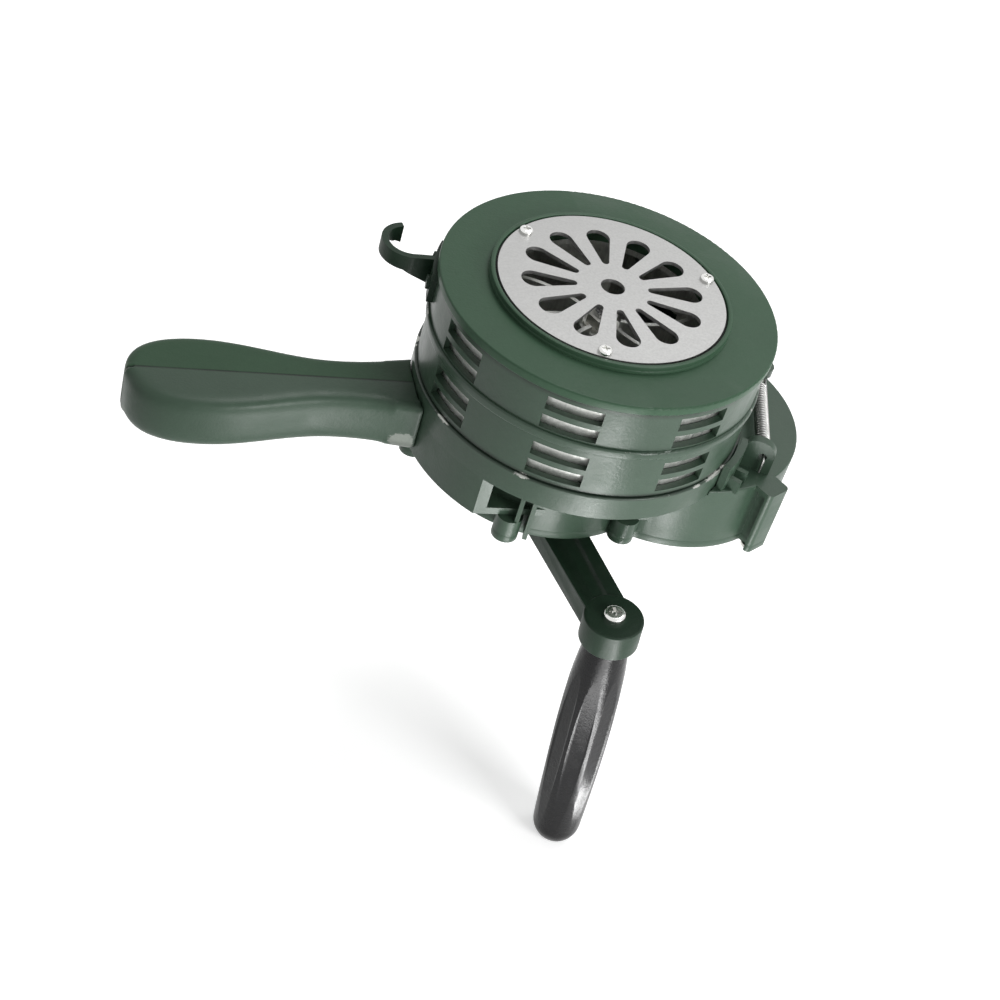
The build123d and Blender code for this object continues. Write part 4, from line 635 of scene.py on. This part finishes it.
class Finish(Enum):
    """Every finish on the siren."""

    FLANGE = Enamel(
        "flange_enamel", GREEN, gloss=0.15,
        rings=(EdgeRing(0.070, 0.0, 0.003, 0.8),),
        # Painted shade under the flange's edge.
        lines=(JointShadeLine(-0.0042, 0.0012),),
    )
    DRUM = Enamel(
        "drum_enamel", SHADED_WALL_GREEN, roughness=0.33, gloss=0.34,
        rings=(EdgeRing(0.070, -0.047, 0.004, 1.25), EdgeRing(0.070, -0.0226, 0.002, 0.9)),
        # Painted shade under the flange and at the shutter ring's foot.
        lines=(JointShadeLine(-0.0046, 0.0022), JointShadeLine(-0.0466, 0.0016, 0.85)),
    )
    HOUSING = Enamel(
        "housing_enamel", SHADED_WALL_GREEN, roughness=0.38, gloss=0.30,
        rings=(EdgeRing(0.070, -0.0765, 0.004, 1.0),),
    )
    # Greener, less glossy copy of the handle's enamel: painted shade that makes the rear half read
    # darker.
    HANDLE_REAR_SHADED = Enamel(
        "handle_rear_shaded_enamel", (0.036, 0.076, 0.043), roughness=0.40, gloss=0.12,
        # Painted shade along the seam between the handle's halves.
        lines=(JointShadeLine(0.0, 0.0009, 0.95, (0.0, 1.0, 0.0)),),
    )
    HANDLE = Enamel(
        "handle_front_enamel", SHADED_WALL_GREEN, roughness=0.40, gloss=0.26,
        spots=(WornSpot((-0.075, -0.0175, -0.072), 0.011, 0.55),),
        # Painted shade along the seam between the handle's halves.
        lines=(JointShadeLine(0.0, 0.0009, 0.95, (0.0, 1.0, 0.0)),),
        under=(0.26, 0.27, 0.25),
    )
    # The arm's dark green is painted shadow of the drum.
    ARM = Enamel("arm_shaded_enamel", DRUM_SHADOW_GREEN, roughness=0.42, gloss=0.16)
    HOOK = Enamel("hook_enamel", DRUM_SHADOW_GREEN, roughness=0.42, gloss=0.16)
    # Near-black ring under the grille's edge, as painted shadow.
    SHADOW_RING = Enamel("grille_shadow_black", (0.012, 0.013, 0.012), roughness=0.7, coat=0.0)
    GRILLE = Metal(
        "grille_sheet", (0.36, 0.36, 0.355), roughness=0.46, streak_scale=900.0, contrast=0.14
    )
    CASTING = Metal(
        "bare_casting", (0.66, 0.67, 0.64), roughness=0.42,
        streak=(1.0, 1.0, 0.12), streak_scale=700.0,
    )
    BRIGHT = Metal("bright_plate", (0.82, 0.82, 0.80), roughness=0.16, contrast=0.15)
    ZINC = Metal("zinc_plate", (0.60, 0.60, 0.56), roughness=0.34)
    WIRE = Metal("spring_wire", (0.40, 0.40, 0.39), roughness=0.34, contrast=0.25)
    GROUND = Metal(
        "ground_steel", (0.62, 0.62, 0.62), roughness=0.22,
        streak=(1.0, 1.0, 0.05), streak_scale=900.0,
    )
    GEAR = Metal("oiled_steel", (0.42, 0.42, 0.41), roughness=0.3)
    BRONZE = Metal("turned_bronze", (0.58, 0.40, 0.20), roughness=0.3, streak=(1.0, 1.0, 6.0))
    PLASTIC = MouldedPlastic("grip_plastic", (0.007, 0.007, 0.0075), roughness=0.22)


class Workshop:
    """Makes the finishes once and puts them on CAD nodes and new pieces."""

    def __init__(self) -> None:
        """Build the shared groups and every finish."""
        groups = EffectGroups()
        self.materials = {finish: finish.value.make(groups) for finish in Finish}
        self.smoother = self._smoother()

    @staticmethod
    def _smoother() -> Tree:
        """Geometry nodes that join loose triangles and shade them smooth up to an angle."""
        tree = bpy.data.node_groups.new("join_and_smooth", "GeometryNodeTree")
        for side in ("INPUT", "OUTPUT"):
            tree.interface.new_socket(
                name="Geometry", in_out=side, socket_type="NodeSocketGeometry"
            )
        nodes = Nodes(tree)
        enter, leave = nodes.add("NodeGroupInput"), nodes.add("NodeGroupOutput")
        merge = nodes.add("GeometryNodeMergeByDistance")
        nodes.feed(enter.outputs[0], merge, "Geometry")
        nodes.feed(JOIN_DISTANCE, merge, "Distance")
        faces = nodes.add("GeometryNodeSetShadeSmooth", domain="FACE")
        nodes.feed(merge.outputs[0], faces, "Geometry")
        nodes.feed(True, faces, "Shade Smooth")
        angle = nodes.add("GeometryNodeInputMeshEdgeAngle")
        sharp = nodes.add("FunctionNodeCompare", data_type="FLOAT", operation="GREATER_THAN")
        nodes.feed(angle.outputs[0], sharp, 0)
        nodes.feed(SHARP_ANGLE, sharp, 1)
        edges = nodes.add("GeometryNodeSetShadeSmooth", domain="EDGE")
        nodes.feed(faces.outputs[0], edges, "Geometry")
        nodes.feed(sharp.outputs[0], edges, "Selection")
        nodes.feed(False, edges, "Shade Smooth")
        nodes.feed(edges.outputs[0], leave, 0)
        return tree

    def dress(self, node: str, finish: Finish, edge: float = 0.0) -> None:
        """Put a finish on a CAD node and shade its curved faces smooth.

        Args:
            node: The node's name.
            finish: Its finish.
            edge: Width of the small bevel on its sharp edges, in millimetres.
        """
        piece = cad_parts[node]
        piece.data.materials.clear()
        piece.data.materials.append(self.materials[finish])
        if edge:
            weld = piece.modifiers.new("join", "WELD")
            weld.merge_threshold = JOIN_DISTANCE
            flat = piece.modifiers.new("flat", "DECIMATE")
            flat.decimate_type = "DISSOLVE"
            flat.angle_limit = FLAT_ANGLE
            bevel = piece.modifiers.new("edge", "BEVEL")
            bevel.width = edge * MM
            bevel.segments = BEVEL_STEPS
            bevel.limit_method = "ANGLE"
            bevel.angle_limit = SHARP_ANGLE
            bevel.miter_outer = "MITER_ARC"
        smooth = piece.modifiers.new("smooth", "NODES")
        smooth.node_group = self.smoother
        LOG.info("dressed %s with %s", node, finish.name)

    def piece(
        self, name: str, shape: bmesh.types.BMesh, finish: Finish, body: str, slot: str
    ) -> bpy.types.Object:
        """Make an object of a finished bmesh and let it ride on a body.

        Args:
            name: The piece's name.
            shape: Its mesh, freed here.
            finish: Its finish.
            body: The CAD body it rides on.
            slot: The record's material slot; not used.

        Returns:
            The new object.
        """
        bmesh.ops.recalc_face_normals(shape, faces=shape.faces)
        mesh = bpy.data.meshes.new(name)
        shape.to_mesh(mesh)
        shape.free()
        thing = bpy.data.objects.new(name, mesh)
        bpy.context.scene.collection.objects.link(thing)
        mesh.materials.append(self.materials[finish])
        thing.modifiers.new("smooth", "NODES").node_group = self.smoother
        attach(thing, body)
        LOG.info("made %s on %s", name, body)
        return thing


# ---- sub-assemblies -----------------------------------------------------------------
def even_skin(source: bpy.types.Object, grid: float) -> bmesh.types.BMesh:
    """Closed even mesh over a merged copy of a CAD node.

    Args:
        source: The node's object.
        grid: Size of the mesh's cells, in metres.

    Returns:
        The skin's mesh.
    """
    copy = bpy.data.objects.new("skin_source", source.data.copy())
    bpy.context.scene.collection.objects.link(copy)
    copy.modifiers.new("join", "WELD").merge_threshold = JOIN_DISTANCE
    skin = copy.modifiers.new("skin", "REMESH")
    skin.mode = "VOXEL"
    skin.voxel_size = grid
    graph = bpy.context.evaluated_depsgraph_get()
    result = bpy.data.meshes.new_from_object(copy.evaluated_get(graph))
    shape = bmesh.new()
    shape.from_mesh(result)
    loose = copy.data
    bpy.data.objects.remove(copy)
    bpy.data.meshes.remove(loose)
    bpy.data.meshes.remove(result)
    return shape


def turned(profile: list[tuple[float, float]], steps: int) -> bmesh.types.BMesh:
    """Ring turned from a closed profile about the rotor axis.

    Args:
        profile: Radius and height of each corner, in millimetres.
        steps: Faces round the ring.

    Returns:
        The ring's mesh.
    """
    shape = bmesh.new()
    corners = [shape.verts.new((radius * MM, 0.0, height * MM)) for radius, height in profile]
    edges = [shape.edges.new((corner, corners[index - 1])) for index, corner in enumerate(corners)]
    bmesh.ops.spin(
        shape, geom=corners + edges, cent=(0, 0, 0), axis=(0, 0, 1),
        angle=2 * math.pi, steps=steps, use_merge=True,
    )
    return shape


@dataclass
class Intake:
    """Flange, grille, its screws, and the rim and painted-shadow ring round it; sizes in
    millimetres.
    """

    shop: Workshop
    rim_inner: float = 48.0
    rim_outer: float = 49.9
    rim_foot: float = 1.5
    rim_top: float = 3.3
    rim_round: float = 0.5
    corner_share: float = 0.3
    shadow_ring_inner: float = 46.5
    shadow_ring_lap: float = 0.1
    shadow_ring_top: float = 1.75
    steps: int = 160

    def build(self) -> None:
        """Dress the intake and add its rim and its dark ring of painted shadow."""
        self.shop.dress("front_flange", Finish.FLANGE)
        self.shop.dress("inlet_grille", Finish.GRILLE)
        self.shop.dress("grille_screws", Finish.BRIGHT)
        self._rim()
        self._shadow_ring()

    def _rim(self) -> None:
        """Raised rim that the grille lies in."""
        inner, outer, low, top = self.rim_inner, self.rim_outer, self.rim_foot, self.rim_top
        soft, corner = self.rim_round, self.rim_round * self.corner_share
        profile = [
            (inner, low), (outer, low), (outer, top - soft), (outer - corner, top - corner),
            (outer - soft, top), (inner + soft, top), (inner + corner, top - corner),
            (inner, top - soft),
        ]
        ring = turned(profile, self.steps)
        self.shop.piece("grille_rim", ring, Finish.FLANGE, "housing", "green_enamel")

    def _shadow_ring(self) -> None:
        """Dark ring under the grille's edge: painted shadow of the gap there."""
        inner, outer = self.shadow_ring_inner, self.rim_inner + self.shadow_ring_lap
        low, top = self.rim_foot, self.shadow_ring_top
        ring = turned([(inner, low), (outer, low), (outer, top), (inner, top)], self.steps)
        self.shop.piece("grille_shadow_ring", ring, Finish.SHADOW_RING, "housing", "black_plastic")


@dataclass
class Drum:
    """Stator drum, shutter ring, base ring and what is fixed to them; sizes in millimetres."""

    shop: Workshop
    edge: float = 0.35

    def build(self) -> None:
        """Dress the drum; only the slotted ring and the hook get a small bevel."""
        shop = self.shop
        shop.dress("stator_drum", Finish.CASTING)
        shop.dress("shutter_ring", Finish.DRUM, self.edge)
        shop.dress("stator_base", Finish.DRUM)
        shop.dress("trigger_hook", Finish.HOOK, self.edge)
        shop.dress("hook_rivets", Finish.HOOK)
        shop.dress("spring_post", Finish.ZINC)
        shop.dress("return_spring", Finish.WIRE)
        shop.dress("drum_screws", Finish.ZINC)


@dataclass
class Rotor:
    """Rotor with its shaft, bearings and nut."""

    shop: Workshop

    def build(self) -> None:
        """Dress the rotor."""
        for node in ("rotor_shaft", "upper_bearing", "lower_bearing"):
            self.shop.dress(node, Finish.GROUND)
        self.shop.dress("rotor", Finish.CASTING)
        for node in ("rotor_spacer", "rotor_nut", "rotor_washer"):
            self.shop.dress(node, Finish.ZINC)


@dataclass
class GearCase:
    """Housing, cover, gears and axles; sizes in millimetres."""

    shop: Workshop
    edge: float = 0.5

    def build(self) -> None:
        """Dress the gear case."""
        shop = self.shop
        shop.dress("gear_housing", Finish.HOUSING, self.edge)
        shop.dress("gear_cover", Finish.HOUSING, self.edge)
        for node in ("cover_screws", "base_screws", "bearing_plate"):
            shop.dress(node, Finish.ZINC)
        for node in ("first_axle", "second_axle"):
            shop.dress(node, Finish.GROUND)
        for node in (
            "first_gear", "first_pinion", "second_gear", "second_pinion", "rotor_pinion",
            "crank_gear",
        ):
            shop.dress(node, Finish.GEAR)


@dataclass
class Crank:
    """Crank shaft, arm and turning grip; sizes in millimetres."""

    shop: Workshop
    edge: float = 0.6

    def build(self) -> None:
        """Dress the crank."""
        shop = self.shop
        shop.dress("crank_arm", Finish.ARM, self.edge)
        shop.dress("crank_grip", Finish.PLASTIC)
        shop.dress("crank_bush", Finish.BRONZE)
        shop.dress("crank_shaft", Finish.GROUND)
        shop.dress("crank_clip", Finish.WIRE)
        for node in ("crank_nut", "grip_washer", "grip_nut"):
            shop.dress(node, Finish.ZINC)
        shop.dress("grip_screw", Finish.BRIGHT)


@dataclass
class CarryHandle:
    """Two softly rounded halves of the carrying handle and their screws.

    The sizes are in millimetres. Only places past skirt_end and off the seam's strip are
    smoothed, so the halves still meet and still close on the skirt.
    """

    shop: Workshop
    grid: float = 0.8
    middle: float = -64.25
    seam_strip: float = 1.6
    skirt_end: float = -80.0
    bow_start: float = -165.0
    front_rounds: int = 90
    rear_rounds: int = 14
    smooth_share: float = 0.5

    def build(self) -> None:
        """Dress the handle."""
        for node, name, rounds, finish in (
            ("handle_front", "handle_front_shell", self.front_rounds, Finish.HANDLE),
            ("handle_rear", "handle_rear_shell", self.rear_rounds, Finish.HANDLE_REAR_SHADED),
        ):
            shape = self._shell(node, rounds)
            shell = self.shop.piece(name, shape, finish, "housing", "green_enamel")
            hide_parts(node)
        for node in ("handle_screws", "handle_nuts"):
            self.shop.dress(node, Finish.ZINC)

    def _shell(self, node: str, rounds: int) -> bmesh.types.BMesh:
        """Even skin over a handle half, with its outer edges smoothed round.

        Args:
            node: The half's CAD node.
            rounds: Passes of smoothing.

        Returns:
            The shell's mesh.
        """
        shape = even_skin(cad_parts[node], self.grid * MM)
        shape.normal_update()
        centre = Vector((0.0, 0.0, self.middle * MM))
        outer = [
            vert for vert in shape.verts
            if vert.co.x < self.skirt_end * MM
            and abs(vert.co.y) > self.seam_strip * MM
            and vert.normal.dot(self._outward(vert.co, centre)) > 0.0
        ]
        for _ in range(rounds):
            bmesh.ops.smooth_vert(
                shape, verts=outer, factor=self.smooth_share,
                use_axis_x=True, use_axis_y=True, use_axis_z=True,
            )
        return shape

    def _outward(self, place: Vector, centre: Vector) -> Vector:
        """Direction from the handle's centre line to a place."""
        return Vector((min(place.x - self.bow_start * MM, 0.0), place.y, place.z - centre.z))


# ---- studio --------------------------------------------------------------------------
@dataclass
class Lamp:
    """One soft area lamp, pointed at a target, in metres and watts."""

    name: str
    place: Point
    width: float
    depth: float
    power: float
    target: Point = (-0.02, 0.0, -0.06)


@dataclass
class Studio:
    """Floor, backdrop light, lamps and camera; places in metres, the lens in millimetres.

    The front card and the grip strip lie level just over the floor, so that they shine up
    along the walls and the grip.
    """

    camera_place: Point = (-0.2779, -0.6063, 0.4515)
    camera_right: Point = (0.9535, -0.1899, 0.2340)
    camera_up: Point = (-0.0393, 0.6913, 0.7213)
    lens: float = 72.2
    sensor_width: float = 36.0
    near_clip: float = 0.01
    floor_gap: float = 0.0005
    floor_half: float = 20.0
    floor_white: float = 0.9
    floor_roughness: float = 0.9
    floor_glow: float = 0.55
    ambient: float = 0.32
    lamps: list[Lamp] = field(default_factory=lambda: [
        Lamp("key_lamp", (0.60, -0.95, 0.28), 0.5, 0.5, 9.0),
        Lamp("top_lamp", (0.45, 0.35, 1.15), 0.8, 0.8, 9.0),
        Lamp("front_card", (0.01, -0.28, -0.230), 0.12, 0.22, 0.75, (0.01, -0.2799, 0.0)),
        Lamp("grip_strip", (0.045, -0.20, -0.230), 0.018, 0.20, 0.20, (0.045, -0.1999, 0.0)),
    ])

    def build(self, lowest: float) -> None:
        """Set up floor, world, lamps and camera.

        Args:
            lowest: Height of the siren's lowest point.
        """
        self._floor(lowest - self.floor_gap)
        self._world()
        for lamp in self.lamps:
            self._lamp(lamp)
        self._camera()
        bpy.context.scene.view_settings.view_transform = "Standard"

    def _floor(self, height: float) -> None:
        """Large pale floor that shows white to the camera and keeps the shadow.

        Args:
            height: Height of its surface.
        """
        shape = bmesh.new()
        bmesh.ops.create_grid(shape, x_segments=1, y_segments=1, size=self.floor_half)
        bmesh.ops.translate(shape, verts=shape.verts, vec=(0.0, 0.0, height))
        mesh = bpy.data.meshes.new("floor")
        shape.to_mesh(mesh)
        shape.free()
        floor = bpy.data.objects.new("floor", mesh)
        bpy.context.scene.collection.objects.link(floor)
        material = bpy.data.materials.new("pale_floor")
        material.use_nodes = True
        shader = material.node_tree.nodes["Principled BSDF"]
        nodes = Nodes(material.node_tree)
        nodes.feed(rgba((self.floor_white,) * 3), shader, "Base Color")
        nodes.feed(self.floor_roughness, shader, "Roughness")
        nodes.feed(0.0, shader, "Specular IOR Level")
        nodes.feed(rgba(WHITE), shader, "Emission Color")
        glow = nodes.math("MULTIPLY", nodes.seen(), self.floor_glow)
        nodes.feed(glow, shader, "Emission Strength")
        mesh.materials.append(material)
        floor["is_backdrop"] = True

    def _world(self) -> None:
        """World that is white to the eye and softer as a light."""
        world = bpy.data.worlds.new("studio")
        world.use_nodes = True
        bpy.context.scene.world = world
        nodes = Nodes(world.node_tree)
        background = world.node_tree.nodes["Background"]
        nodes.feed(rgba(WHITE), background, 0)
        strength = nodes.spread(nodes.seen(), 0.0, 1.0, out_low=self.ambient, out_high=1.0)
        nodes.feed(strength, background, "Strength")

    def _lamp(self, lamp: Lamp) -> None:
        """Add one area lamp.

        Args:
            lamp: Its name, place, size, power and target.
        """
        data = bpy.data.lights.new(lamp.name, "AREA")
        data.energy = lamp.power
        data.shape = "RECTANGLE"
        data.size = lamp.width
        data.size_y = lamp.depth
        thing = bpy.data.objects.new(lamp.name, data)
        thing.visible_camera = False
        thing.location = lamp.place
        aim = Vector(lamp.target) - Vector(lamp.place)
        thing.rotation_euler = aim.to_track_quat("-Z", "Y").to_euler()
        bpy.context.scene.collection.objects.link(thing)

    def _camera(self) -> None:
        """Camera at the photograph's viewpoint."""
        data = bpy.data.cameras.new("camera")
        data.lens = self.lens
        data.sensor_width = self.sensor_width
        data.clip_start = self.near_clip
        camera = bpy.data.objects.new("camera", data)
        right, up = Vector(self.camera_right), Vector(self.camera_up)
        back = right.cross(up)
        turn = Matrix((right, up, back)).transposed().to_4x4()
        camera.matrix_world = Matrix.Translation(Vector(self.camera_place)) @ turn
        bpy.context.scene.collection.objects.link(camera)
        bpy.context.scene.camera = camera


def main() -> None:
    """Dress every sub-assembly and set the studio."""
    cad_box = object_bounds()
    shop = Workshop()
    for assembly in (Intake, Drum, Rotor, GearCase, Crank, CarryHandle):
        assembly(shop).build()
    Studio().build(cad_box[0].z)


if __name__ == "__main__":
    logging.basicConfig(level=logging.INFO)
    main()
